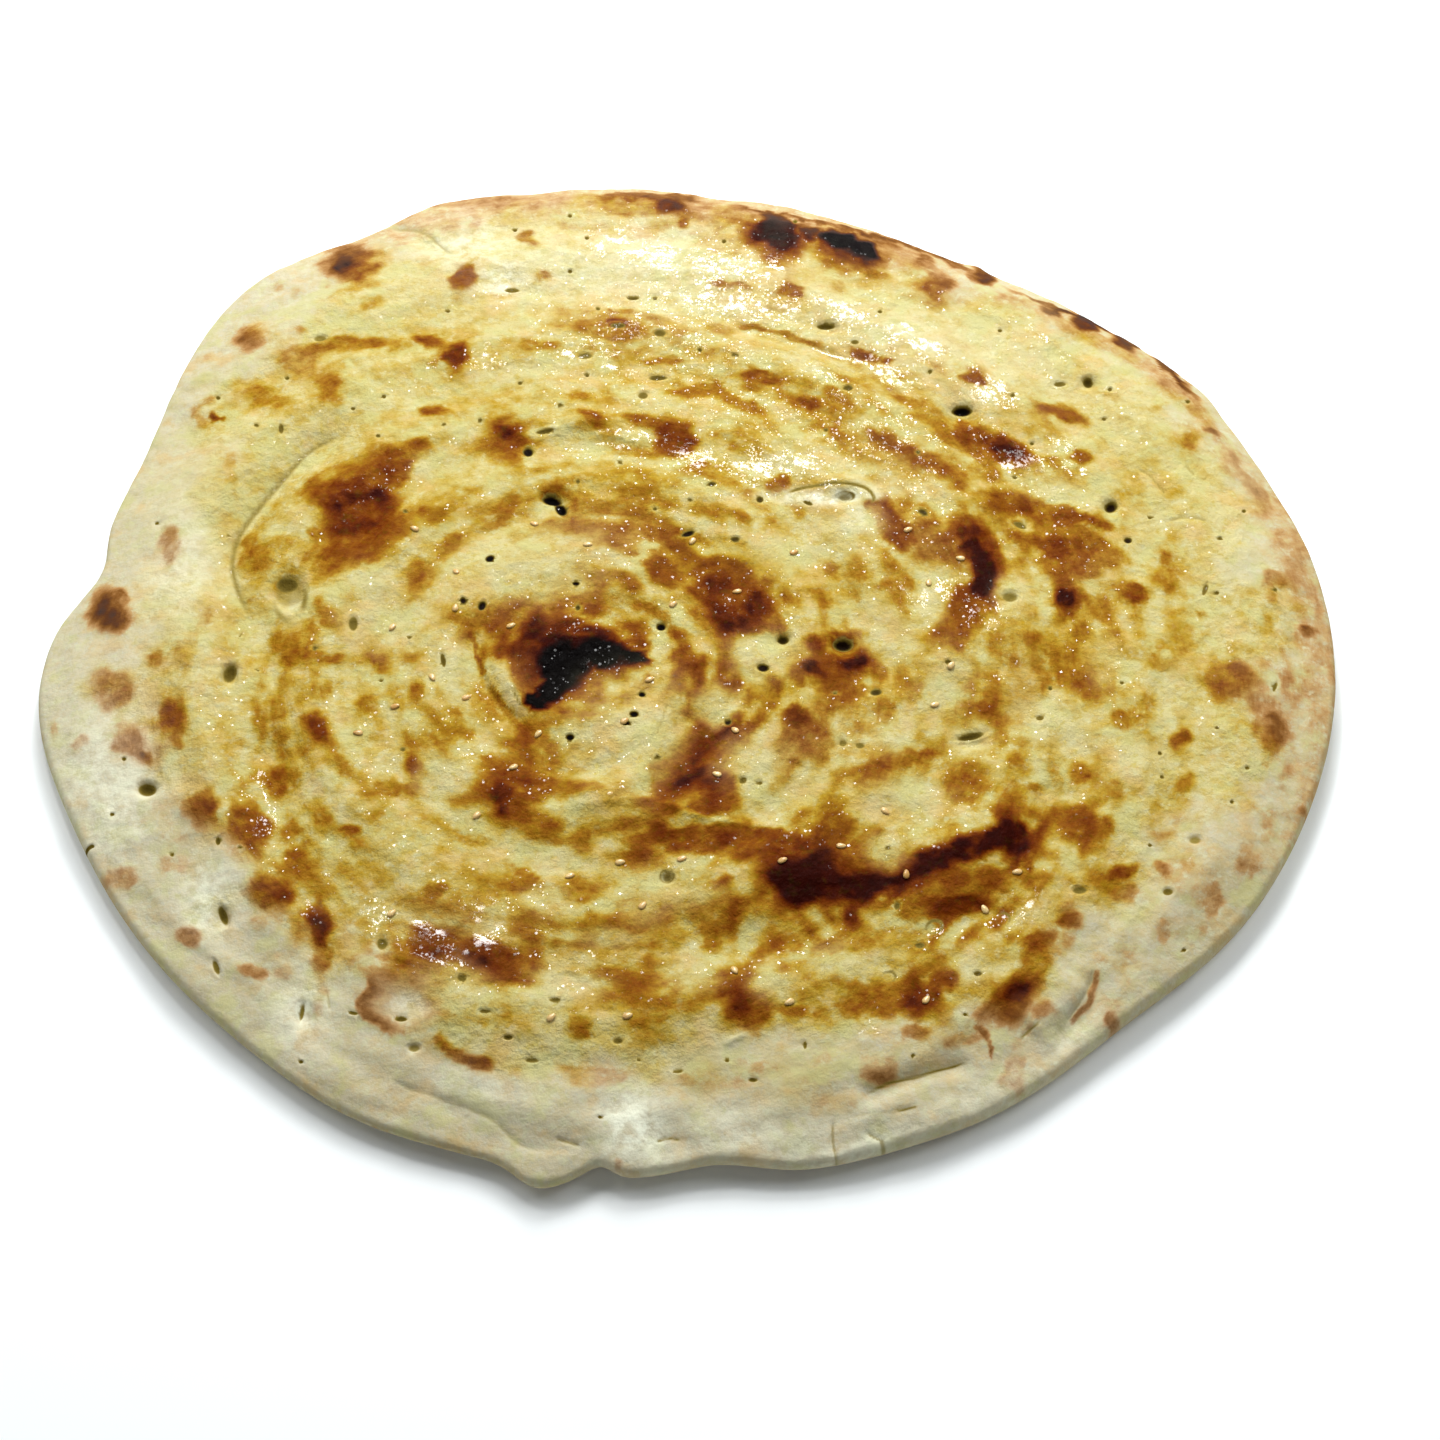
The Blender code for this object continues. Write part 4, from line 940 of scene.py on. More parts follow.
def lie(px, py):
    """The place on the dome that shows at a pixel of the picture."""
    ray = FORWARD * FOCAL_PIXELS
    ray += Vector((px - PICTURE_MIDDLE, 0, 0)) - UPWARD * (py - PICTURE_MIDDLE)
    height = CROWN_HEIGHT
    for _ in range(SIGHT_STEPS):
        spot = EYE + ray * ((height - EYE.z) / ray.z)
        height = float(dome(spot.x, spot.y))
    return spot.x, spot.y


def smooth_line(knots, steps=6):
    """Points along a smooth curve through the knots."""
    knots = [2 * knots[0] - knots[1]] + list(knots) + [2 * knots[-1] - knots[-2]]
    line = []
    for before, start, end, after in zip(knots, knots[1:], knots[2:], knots[3:]):
        for step in range(steps):
            t = step / steps
            line.append(0.5 * (2 * start + (end - before) * t
                               + (2 * before - 5 * start + 4 * end - after) * t * t
                               + (3 * start - before - 3 * end + after) * t * t * t))
    line.append(knots[-2])
    return line


def near_line(line, x, y):
    """How far places are from a line, and how far along it their nearest point is, 0 to 1."""
    nearest = np.full(np.shape(x), np.inf)
    progress = np.zeros(np.shape(x))
    for index, (start, end) in enumerate(zip(line, line[1:])):
        run_x, run_y = end - start
        t = ((x - start.x) * run_x + (y - start.y) * run_y) / (run_x ** 2 + run_y ** 2)
        t = np.clip(t, 0, 1)
        away = np.hypot(x - start.x - t * run_x, y - start.y - t * run_y)
        progress = np.where(away < nearest, (index + t) / (len(line) - 1), progress)
        nearest = np.minimum(nearest, away)
    return nearest, progress


def end_fade(progress):
    """Fades a line out at its two ends."""
    fade = np.clip(np.minimum(progress, 1 - progress) / STROKE_END_FADE, 0, 1)
    return fade * fade * (3 - 2 * fade)


def stroke_rise(stroke, x, y):
    """How much one furrow or ridge lifts the crust."""
    line = smooth_line([Vector(lie(*place)) for place in stroke.places])
    nearest, progress = near_line(line, x, y)
    return stroke.rise * end_fade(progress) * np.exp(-(nearest / stroke.width) ** 2)


def pit_rise(pit, x, y):
    """How much one hole or dent lowers the crust: a flat floor with steep walls."""
    left, _ = lie(pit.place[0] - pit.across / 2, pit.place[1])
    right, middle_y = lie(pit.place[0] + pit.across / 2, pit.place[1])
    _, far = lie(pit.place[0], pit.place[1] - pit.along / 2)
    _, near = lie(pit.place[0], pit.place[1] + pit.along / 2)
    u = (x - (left + right) / 2) / ((right - left) / 2)
    v = (y - middle_y) / ((far - near) / 2)
    return -pit.depth * np.exp(-(u * u + v * v) ** PIT_STEEPNESS)


def furrow_rise(x, y):
    """The furrow of the spiral: one turn further out for each turn round the heart."""
    heart_x, heart_y = lie(*HEART)
    distance = np.hypot(x - heart_x, y - heart_y)
    turn = np.arctan2(y - heart_y, x - heart_x) / (2 * math.pi)
    wander = waved(FURROW_WANDER, x, y)
    phase = (distance + wander - FURROW_START) / FURROW_PITCH - turn + 0.5
    rim_distance, bearing = polar(x, y)
    inset = np.maximum(reach(bearing) - rim_distance, 0)
    fade = np.tanh(inset / FURROW_RIM_FADE) * np.tanh(distance / FURROW_HEART_FADE)
    return -FURROW_DEPTH * fade * np.cos(2 * math.pi * phase)


def ripple(x, y, size, layer):
    """Smooth noise between -1 and 1, with humps about as wide as size."""
    flat = [noise.noise(Vector((a / size, b / size, layer)))
            for a, b in zip(np.ravel(x), np.ravel(y))]
    return np.reshape(flat, np.shape(x))


def waved(wave, x, y):
    """How much a wave adds at each place."""
    return wave.rise * ripple(x, y, wave.size, wave.layer)


def crust_height(x, y):
    """The top of the bread, furrows, ridges, holes and all."""
    height = dome(x, y) + furrow_rise(x, y)
    for wave in WAVES:
        height = height + waved(wave, x, y)
    for stroke in STROKES:
        height = height + stroke_rise(stroke, x, y)
    for pit in PITS:
        height = height + pit_rise(pit, x, y)
    return height


def streamed(stream, x, y):
    """How much a stream adds: smooth noise drawn out round the heart, as the dough was pressed."""
    heart_x, heart_y = lie(*HEART)
    distance = np.hypot(x - heart_x, y - heart_y)
    across, along, layer = stream.across, stream.along, stream.layer
    flat = [noise.noise(Vector((away / across, a / along, b / along + layer)))
            for away, a, b in zip(np.ravel(distance), np.ravel(x), np.ravel(y))]
    return stream.rise * np.reshape(flat, np.shape(x))


def picture_place(x, y, z):
    """The picture's pixels at which real places show."""
    ahead = (y - EYE.y) * FORWARD.y + (z - EYE.z) * FORWARD.z
    up = (y - EYE.y) * UPWARD.y + (z - EYE.z) * UPWARD.z
    px = PICTURE_MIDDLE + FOCAL_PIXELS * (x - EYE.x) / ahead
    return px, PICTURE_MIDDLE - FOCAL_PIXELS * up / ahead


def oval(mark, px, py):
    """How far pixels are from the middle of a mark's oval: 1 on its edge."""
    turn = math.radians(mark.turn)
    across = (px - mark.x) * math.cos(turn) + (py - mark.y) * math.sin(turn)
    along = (py - mark.y) * math.cos(turn) - (px - mark.x) * math.sin(turn)
    return np.hypot(across * 2 / mark.wide, along * 2 / mark.high)


def plateau(distance, crispness=FIRM):
    """Full in the middle of a mark, half on its edge and soon nothing beyond it."""
    return np.exp(-HALVING * distance ** crispness)


def drawn_out(px, py, x, y):
    """Pixels moved to and fro round the heart, so that marks end in strokes, as if pressed."""
    flattening = math.sin(VIEW_ELEVATION)
    away_x = px - HEART[0]
    away_y = (py - HEART[1]) / flattening
    distance = np.hypot(away_x, away_y) + HEART_CALM
    shift = streamed(MARK_DRIFT, x, y)
    return px - shift * away_y / distance, py + shift * away_x / distance * flattening


def fray(px, py, x, y):
    """Pixels that stray a little, for small marks, and a lot, for broad ones."""
    drawn = drawn_out(px, py, x, y)
    small = [pixel + waved(wave, x, y) for pixel, wave in zip(drawn, FINE_FRAY)]
    broad = [pixel + waved(wave, x, y) for pixel, wave in zip(small, BROAD_FRAY)]
    return Places(small, broad)


def soft_spot(distance):
    """Full at the heart of a browned mark, fading to nothing somewhat past its edge."""
    share = np.clip((SPOT_END - distance) / (SPOT_END - SPOT_FULL), 0, 1)
    return share * share * (3 - 2 * share)


def browned(places):
    """The tone of all browned spots and streaks together, melting into each other."""
    total = np.zeros(np.shape(places.small[0]))
    for spot in SPOTS:
        px, py = places.broad if min(spot.wide, spot.high) > BROAD_MARK else places.small
        total = total + (spot.tone * soft_spot(oval(spot, px, py))) ** MELT
    for streak in STREAKS:
        line = smooth_line([Vector(place) for place in streak.places])
        nearest, progress = near_line(line, *places.small)
        share = np.sqrt(end_fade(progress)) * soft_spot(2 * nearest / streak.width)
        total = total + (streak.tone * share) ** MELT
    return total ** (1 / MELT)


def marked(marks, places, crispness=FIRM):
    """The strongest tone that any of the marks gives each place."""
    tone = np.zeros(np.shape(places.small[0]))
    for mark in marks:
        px, py = places.broad if min(mark.wide, mark.high) > BROAD_MARK else places.small
        tone = np.maximum(tone, mark.tone * plateau(oval(mark, px, py), crispness))
    return tone


def veiled(places):
    """The golden veil round each browned mark, about as wide for a small mark as for a broad one."""
    tone = np.zeros(np.shape(places.broad[0]))
    for spot in SPOTS:
        narrow = min(spot.wide, spot.high)
        beyond = np.maximum(oval(spot, *places.broad) - VEIL_START, 0) * narrow / 2
        full = VEIL_SHARE * spot.tone * min(1, narrow / VEIL_FULL_WIDTH)
        tone = np.maximum(tone, full * np.exp(-(beyond / VEIL_REACH) ** 2))
    return tone


def ground_tone(x, y, places):
    """The mottled golden ground between the browned marks."""
    mottle = MOTTLE_LEVEL + streamed(MOTTLE_STREAKS, x, y) + waved(MOTTLE_PATCHES, x, y)
    mottle = mottle + streamed(MOTTLE_FINE_STREAKS, x, y)
    zone = marked(ZONES, places, SOFT)
    veil = veiled(places) * (VEIL_DRY + (1 - VEIL_DRY) * oiled(x, y))
    return np.hypot(zone * np.clip(mottle, *ZONE_MOTTLE_LIMITS),
                    veil * np.clip(mottle, *VEIL_MOTTLE_LIMITS))


def all_holes():
    """The holes and, as small round ones, the pores."""
    return HOLES + tuple(Spot(x, y, PORE_WIDE, PORE_HIGH, PORE_SHADE) for x, y in PORES)


def hollowed(px, py):
    """For all holes: the painted shade in holes and the dark edges of burst rings, how far each place
    sinks, and the lip round a hole.
    """
    dark = np.zeros(np.shape(px))
    sink = np.zeros(np.shape(px))
    lip = np.zeros(np.shape(px))
    for hole in all_holes():
        away = oval(hole, px, py)
        depth = min(HOLE_SINK * min(hole.wide, hole.high) * PIXEL, HOLE_SINK_LIMIT)
        # A hole's tone is painted shade, full in its middle
        dark = np.maximum(dark, hole.tone * plateau(away, HARD))
        sink = np.maximum(sink, depth * plateau(away, MILD))
        lip = np.maximum(lip, np.exp(-((away - LIP_PLACE) / LIP_SPREAD) ** 2))
    for ring in RINGS:
        dark = np.maximum(dark, ringed(ring, px, py))
    return dark, sink, lip


def ringed(ring, px, py):
    """How dark a burst bubble's broken ring makes each place."""
    away = oval(ring, px, py + RING_SKEW * (px - ring.x))
    edge = np.exp(-((away - 1) / RING_WIDTH) ** 2)
    return ring.tone * edge * (1 - RING_BREAKS + RING_BREAKS * np.sin((px - py) / RING_BAND))


def creased(px, py):
    """For all fine creases: how dark the painted shade in them makes each place, and how far it sinks.
    """
    dark = np.zeros(np.shape(px))
    sink = np.zeros(np.shape(px))
    for crease in CREASES:
        line = smooth_line([Vector(place) for place in crease.places])
        nearest, progress = near_line(line, px, py)
        depth = end_fade(progress) * np.exp(-(nearest * PIXEL / crease.width * CREASE_NARROWING) ** 2)
        dark = np.maximum(dark, crease.dark * depth)
        sink = sink + crease.sink * depth
    return dark, sink


def oiled(x, y):
    """Where the crust is oiled: all but a ragged band along the rim, widest at the near left."""
    distance, bearing = polar(x, y)
    inset = reach(bearing) - distance
    edge = between(bearing, OIL_INSET_FAR, OIL_INSET_NEAR)
    edge = edge + waved(OIL_BAYS, x, y) + waved(OIL_FRAY, x, y)
    return np.clip((inset - edge) / OIL_SOFTNESS + 0.5, 0, 1)


def crust_tone(x, y, places, pale, bubble, lip):
    """How browned each place is, from pale dough to char."""
    tone = browned(places) * (1 + waved(TONE_PATCHES, x, y) + waved(TONE_FLECKS, x, y))
    tone = (tone ** MELT + ground_tone(x, y, places) ** MELT) ** (1 / MELT)
    tone = tone - TONE_CONTRAST * np.sin(2 * math.pi * np.clip(tone / DARKEST_BAKED, 0, 0.5))
    tone = np.minimum(tone * (1 - ISLAND_PALENESS * pale), DARKEST_BAKED)
    tone = np.maximum(tone, marked(CHARRED, places, CRISP))
    return np.clip(tone * (1 - BUBBLE_PALENESS * bubble) * (1 - LIP_PALENESS * lip), 0, 1)


def fine_relief(x, y, tone, bubble, lip):
    """How much humps, wrinkles, browned blisters, bubbles and the lips of holes lift the crust."""
    rise = waved(HUMPS, x, y) + waved(PUCKERS, x, y) + streamed(WRINKLES, x, y)
    return rise + BLISTER_RISE * tone + BUBBLE_RISE * bubble + HOLE_LIP * lip


def crust_marks(x, y, z):
    """All that the material needs to know of each place, and the fine relief there."""
    px, py = picture_place(x, y, z)
    places = fray(px, py, x, y)
    holes, hole_sink, lip = hollowed(px, py)
    creases, crease_sink = creased(px, py)
    bubble = marked(BUBBLES, places)
    pale = marked(ISLANDS, places, MILD)
    tone = crust_tone(x, y, places, pale, bubble, lip)
    marks = {
        "browning": tone,
        "pale": pale,
        "oil": oiled(x, y),
        "yellow": marked(YELLOW, places, SOFT),
        "pink": marked(PINK, places, SOFT),
        "flour": marked(FLOUR, places, SOFT),
        "gleam": marked(GLEAMS, places, SOFT),
        # Painted shade in holes and creases, with the dark edges of burst rings
        "hollow": np.maximum(holes, creases),
    }
    return marks, fine_relief(x, y, tone, bubble, lip) - hole_sink - crease_sink


def coordinates(verts):
    """The x and y of the given vertices, as two arrays."""
    flat = np.array([vert.co[:2] for vert in verts])
    return flat[:, 0], flat[:, 1]


def round_grid(mesh, segments):
    """A square grid whose edge is drawn out to the rim's round edge."""
    bmesh.ops.create_grid(mesh, x_segments=segments, y_segments=segments, size=1)
    for vert in mesh.verts:
        u, v, _ = vert.co
        disc_x = u * math.sqrt(1 - v * v / 2)
        disc_y = v * math.sqrt(1 - u * u / 2)
        bearing = math.degrees(math.atan2(disc_y, disc_x))
        inner_reach = float(reach(bearing)) - EDGE_ROUND - RIM_CLEARANCE
        vert.co = (SHIFT_X + disc_x * inner_reach, SHIFT_Y + disc_y * inner_reach, 0)


def beside_marks(x, y):
    """Whether places are in or close beside a hole or a crease."""
    px, py = picture_place(x, y, dome(x, y))
    beside = beside_small_holes(x, y)
    for hole in HOLES:
        beside |= oval(hole, px, py) < BESIDE_HOLE
    for crease in CREASES:
        line = smooth_line([Vector(place) for place in crease.places], CREASE_STEPS)
        beside |= near_line(line, px, py)[0] < BESIDE_CREASE
    return beside


def beside_small_holes(x, y):
    """Whether places are in or close beside a small hole."""
    px, py = picture_place(x, y, dome(x, y))
    beside = np.zeros(np.shape(px), bool)
    for hole in all_holes() + RINGS:
        if min(hole.wide, hole.high) < SMALL_HOLE or hole in RINGS:
            beside |= oval(hole, px, py) < BESIDE_HOLE
    return beside


def split_beside_fine_marks(mesh):
    """Makes the mesh finer where the crust has holes and creases."""
    for chooser in (beside_marks, beside_small_holes):
        edges = [edge for edge in mesh.edges if edge.calc_length() > FINE_SPACING]
        x, y = coordinates([edge.verts[0] for edge in edges])
        end_x, end_y = coordinates([edge.verts[1] for edge in edges])
        near = chooser((x + end_x) / 2, (y + end_y) / 2)
        chosen = [edge for edge, wanted in zip(edges, near) if wanted]
        bmesh.ops.subdivide_edges(mesh, edges=chosen, cuts=1, use_grid_fill=True)
        bmesh.ops.triangulate(mesh, faces=mesh.faces[:], quad_method="BEAUTY", ngon_method="BEAUTY")


def raise_crust(mesh):
    """Lifts the flat disc to the crust's height, and stores the marks on its vertices."""
    for name in STORED_MARKS:
        mesh.verts.layers.float.new(name)
    verts = list(mesh.verts)
    x, y = coordinates(verts)
    height = crust_height(x, y)
    marks, rise = crust_marks(x, y, height)
    height = np.minimum(height + rise, cad_high.z - TOP_CLEARANCE)
    marks["rim_top"] = height
    for vert, z in zip(verts, height):
        vert.co.z = z
    for name, values in marks.items():
        layer = mesh.verts.layers.float[name]
        for vert, value in zip(verts, values):
            vert[layer] = value


def ring_below(mesh, rim_edges, inset, height):
    """Extrudes the open edge to a ring at a given inset from the rim."""
    rim_top = mesh.verts.layers.float["rim_top"]
    grown = bmesh.ops.extrude_edge_only(mesh, edges=rim_edges)["geom"]
    ring = [item for item in grown if isinstance(item, bmesh.types.BMVert)]
    for vert in ring:
        _, bearing = polar(vert.co.x, vert.co.y)
        distance = float(reach(bearing)) - inset - RIM_CLEARANCE
        vert.co.x = SHIFT_X + distance * math.cos(math.radians(bearing))
        vert.co.y = SHIFT_Y + distance * math.sin(math.radians(bearing))
        vert.co.z = height(vert[rim_top], bearing)
    return ring, [item for item in grown if isinstance(item, bmesh.types.BMEdge)]


def under_height(bearing):
    """How far the underside's outer edge is lifted off the table."""
    turn = math.radians(UNDER_WAVES * bearing + UNDER_WAVES_TURN)
    return UNDER_LIFT + UNDER_LIFT_WAVE * math.sin(turn)


def edge_rings():
    """Inset of each ring round the rim's rounded edge, and its share of the way down."""
    for step in range(1, EDGE_STEPS + 1):
        turn = math.radians(90 * step / EDGE_STEPS)
        yield EDGE_ROUND * (1 - math.sin(turn)), (1 - math.cos(turn)) / 2
    for step in range(1, EDGE_STEPS + 1):
        turn = math.radians(90 * step / EDGE_STEPS)
        yield UNDER_ROUND * (1 - math.cos(turn)), (1 + math.sin(turn)) / 2


def close_underside(mesh):
    """Rolls the open edge round the rim and closes the bread with a flat underside."""
    under = mesh.verts.layers.float["under"]
    oil = mesh.verts.layers.float["oil"]
    browning = mesh.verts.layers.float["browning"]
    rim = [edge for edge in mesh.edges if edge.is_boundary]
    for inset, share in edge_rings():
        ring, rim = ring_below(mesh, rim, inset,
                               lambda top, bearing: top + (under_height(bearing) - top) * share)
        for vert in ring:
            vert[oil] = 0
            vert[under] = max(0, 2 * share - 1)
            kept = 1 - EDGE_FADE * share * (1 + float(waved(EDGE_WAVE, vert.co.x, vert.co.y)))
            vert[browning] = max(vert[browning] * kept, EDGE_LINE * math.sin(math.pi * share))
    ring, rim = ring_below(mesh, rim, REST_INSET, lambda top, bearing: 0)
    for vert in ring:
        vert[under] = 1
    bmesh.ops.contextual_create(mesh, geom=rim)


def make_bread(material):
    """The bread: a disc whose crust is raised, and whose rim is rolled under and closed."""
    mesh = bmesh.new()
    round_grid(mesh, GRID_SEGMENTS)
    split_beside_fine_marks(mesh)
    raise_crust(mesh)
    close_underside(mesh)
    bmesh.ops.recalc_face_normals(mesh, faces=mesh.faces[:])
    return finish_object(mesh, "oiled_bread", material)


def finish_object(mesh, name, material):
    """Turns a mesh into a smooth piece of one material, at the origin."""
    data = bpy.data.meshes.new(name)
    mesh.to_mesh(data)
    mesh.free()
    data.materials.append(material)
    data.shade_smooth()
    piece = bpy.data.objects.new(name, data)
    bpy.context.scene.collection.objects.link(piece)
    return piece


def seed_places():
    """The clear seeds, then more drawn over their field, each kept apart from the others."""
    draw = random.Random(SEED_DRAW)
    places = [(*lie(*seed), draw.uniform(0, 2 * math.pi)) for seed in CLEAR_SEEDS]
    while len(places) < SEED_COUNT:
        x, y = lie(draw.uniform(*SEED_FIELD[:2]), draw.uniform(*SEED_FIELD[2:]))
        if all(math.hypot(x - a, y - b) > SEED_APART for a, b, _ in places):
            places.append((x, y, draw.uniform(0, 2 * math.pi)))
    return places


def crust_top(x, y):
    """The finished crust's height, its fine relief included."""
    height = crust_height(x, y)
    return height + crust_marks(x, y, height)[1]


def make_seeds(material):
    """Sesame seeds, each a drop with a blunt and a pointed end, a quarter sunk in the crust."""
    mesh = bmesh.new()
    places = seed_places()
    x = np.array([place[0] for place in places])
    y = np.array([place[1] for place in places])
    step = SEED_LENGTH / 2
    heights = np.minimum(crust_top(x, y), cad_high.z - SEED_HEIGHT)
    slope_x = (crust_top(x - step, y) - crust_top(x + step, y)) / (2 * step)
    slope_y = (crust_top(x, y - step) - crust_top(x, y + step)) / (2 * step)
    size = Matrix.Diagonal((SEED_LENGTH, SEED_WIDTH, SEED_HEIGHT, 1))
    for index, (seed_x, seed_y, turn) in enumerate(places):
        lean = Vector((0, 0, 1)).rotation_difference(Vector((slope_x[index], slope_y[index], 1)))
        place = Matrix.Translation((seed_x, seed_y, heights[index] + SEED_LIFT * SEED_HEIGHT))
        turned = lean.to_matrix().to_4x4() @ Matrix.Rotation(turn, 4, "Z")
        made = bmesh.ops.create_uvsphere(mesh, u_segments=SEED_SIDES, v_segments=SEED_RINGS,
                                         radius=0.5)["verts"]
        for vert in made:
            vert.co.y *= 1 - SEED_TAPER * vert.co.x
        bmesh.ops.transform(mesh, matrix=place @ turned @ size, verts=made)
    return finish_object(mesh, "sesame_seeds", material)


def linear(red, green, blue, lightness=1.0):
    """A colour as it is seen, 0 to 255, turned into the light that a shader takes."""
    shares = [value / 255 for value in (red, green, blue)]
    light = [share / 12.92 if share < 0.04045 else ((share + 0.055) / 1.055) ** 2.4 for share in shares]
    return (*(lightness * value for value in light), 1)


def add_node(tree, kind, inputs=None, **settings):
    """Adds a node. An input that is given as a socket is linked, and any other is set."""
    new = tree.nodes.new(kind)
    for name, value in settings.items():
        setattr(new, name, value)
    for name, value in (inputs or {}).items():
        if isinstance(value, bpy.types.NodeSocket):
            tree.links.new(value, new.inputs[name])
        else:
            new.inputs[name].default_value = value
    return new


def reckon(tree, operation, first, second=0.0, clamp=False):
    """One sum of two numbers or sockets."""
    node = add_node(tree, "ShaderNodeMath", {0: first, 1: second}, operation=operation, use_clamp=clamp)
    return node.outputs[0]


def plus(tree, first, second):
    """Two numbers or sockets together."""
    return reckon(tree, "ADD", first, second)


def times(tree, first, second):
    """One number or socket times another."""
    return reckon(tree, "MULTIPLY", first, second)


def stronger(tree, first, second):
    """The greater of two numbers or sockets."""
    return reckon(tree, "MAXIMUM", first, second)


def blend(tree, share, first, second):
    """A colour between two others."""
    node = add_node(tree, "ShaderNodeMix", {0: share, 6: first, 7: second}, data_type="RGBA")
    return node.outputs[2]


def window(tree, value, limits):
    """Maps a value between two limits, smoothly, to their own range."""
    inputs = {0: value, 1: limits.low, 2: limits.high, 3: limits.out_low, 4: limits.out_high}
    return add_node(tree, "ShaderNodeMapRange", inputs, interpolation_type="SMOOTHSTEP").outputs[0]


def ramp(tree, value, stops):
    """Shader colours along a value, each stop a place from 0 to 1 and a colour."""
    node = add_node(tree, "ShaderNodeValToRGB", {0: value})
    elements = node.color_ramp.elements
    while len(elements) < len(stops):
        elements.new(0.5)
    for element, (place, colour) in zip(elements, stops):
        element.position = place
        element.color = colour
    return node.outputs[0]


def crust_shade(colour):
    """One of the crust's colours, dimmed as the studio's bright light needs it."""
    return linear(*colour, CRUST_LIGHTNESS)


def colour_ramp(tree, value, stops):
    """The crust's colours along a value."""
    return ramp(tree, value, [(place, crust_shade(colour)) for place, colour in stops])


def level_ramp(tree, value, stops):
    """Levels from 0 to 1 along a value."""
    return ramp(tree, value, [(place, (level, level, level, 1)) for place, level in stops])


def stored(tree, name):
    """A value that the mesh stores on its vertices."""
    return add_node(tree, "ShaderNodeAttribute", attribute_name=name).outputs["Fac"]


def grain_group():
    """Fine mottling and relief of baked things, at a given number of patches in a metre."""
    group = bpy.data.node_groups.new("baked_grain", "ShaderNodeTree")
    group.interface.new_socket("Place", in_out="INPUT", socket_type="NodeSocketVector")
    for side, name in (("INPUT", "Fineness"), ("OUTPUT", "Mottle"), ("OUTPUT", "Relief")):
        group.interface.new_socket(name, in_out=side, socket_type="NodeSocketFloat")
    given = add_node(group, "NodeGroupInput")
    place = given.outputs["Place"]
    fineness = given.outputs["Fineness"]
    coarse = add_node(group, "ShaderNodeTexNoise",
                      {"Vector": place, "Scale": fineness, "Detail": 5.0, "Roughness": 0.62})
    fine = add_node(group, "ShaderNodeTexNoise",
                    {"Vector": place, "Scale": times(group, fineness, FINE_GRAIN), "Detail": 3.0,
                     "Roughness": 0.6})
    mottle = reckon(group, "SUBTRACT", coarse.outputs[0], 0.5)
    relief = plus(group, coarse.outputs[0], times(group, fine.outputs[0], FINE_GRAIN_SHARE))
    add_node(group, "NodeGroupOutput", {"Mottle": mottle, "Relief": relief})
    return group


def grain(tree, group, place, fineness):
    """The fine grain at one size: its mottling and its relief."""
    node = add_node(tree, "ShaderNodeGroup", node_tree=group)
    tree.links.new(place, node.inputs["Place"])
    node.inputs["Fineness"].default_value = fineness
    return node.outputs["Mottle"], node.outputs["Relief"]


def vector_sum(tree, operation, first, second):
    """One sum of two vectors or sockets."""
    return add_node(tree, "ShaderNodeVectorMath", {0: first, 1: second}, operation=operation).outputs[0]


def aside(tree, place):
    """A place moved aside, for grain that has nothing to do with the grain here."""
    return vector_sum(tree, "ADD", place, ASIDE)


def drawn_round(tree, place):
    """A place whose grain is drawn out round the heart of the spiral, in units of its own fibres."""
    centred = vector_sum(tree, "SUBTRACT", place, (*lie(*HEART), 0))
    flat = vector_sum(tree, "MULTIPLY", centred, (1, 1, 0))
    distance = add_node(tree, "ShaderNodeVectorMath", {0: flat}, operation="LENGTH").outputs["Value"]
    along = vector_sum(tree, "MULTIPLY", flat, (1 / FIBRE_ALONG, 1 / FIBRE_ALONG, 0))
    split = add_node(tree, "ShaderNodeSeparateXYZ", {0: along})
    fibres = {0: times(tree, distance, 1 / FIBRE_ACROSS), 1: split.outputs[0], 2: split.outputs[1]}
    return add_node(tree, "ShaderNodeCombineXYZ", fibres).outputs[0]


def grained_tone(tree, group, place, mottle, broad):
    """The stored browning, which strays with the grain where its tone leaves room."""
    fibre, _ = grain(tree, group, drawn_round(tree, place), FIBRE_GRAIN)
    browning = stored(tree, "browning")
    stray = plus(tree, times(tree, mottle, MOTTLE_SHARE), times(tree, broad, BROAD_SHARE))
    stray = plus(tree, stray, times(tree, fibre, window(tree, browning, FIBRE_SHARE)))
    stray = times(tree, stray, level_ramp(tree, browning, TONE_ROOM))
    return reckon(tree, "ADD", browning, stray, clamp=True)


def dry_dough(tree, tone, light, fleck, mottle):
    """Crust without oil: floury here and faintly olive there, where it is light."""
    colour = colour_ramp(tree, tone, DRY_BROWNING)
    floury = stronger(tree, window(tree, fleck, FLOURY_PATCHES), window(tree, mottle, FLOURY_FLECKS))
    colour = blend(tree, times(tree, floury, light), colour, crust_shade(FLOURED))
    stain = times(tree, window(tree, fleck, OLIVE_PATCHES), light)
    return blend(tree, stain, colour, crust_shade(OLIVE_STAIN))


def pale_flecked(tree, colour, tone, fleck):
    """The colour with pale flecks, and paler on the islands of light dough."""
    pale = times(tree, window(tree, fleck, PALE_PATCHES), window(tree, tone, PALE_TONES))
    pale = stronger(tree, times(tree, pale, PALE_SHARE), times(tree, stored(tree, "pale"), ISLAND_SHARE))
    return blend(tree, pale, colour, crust_shade(PALE_FLECK))


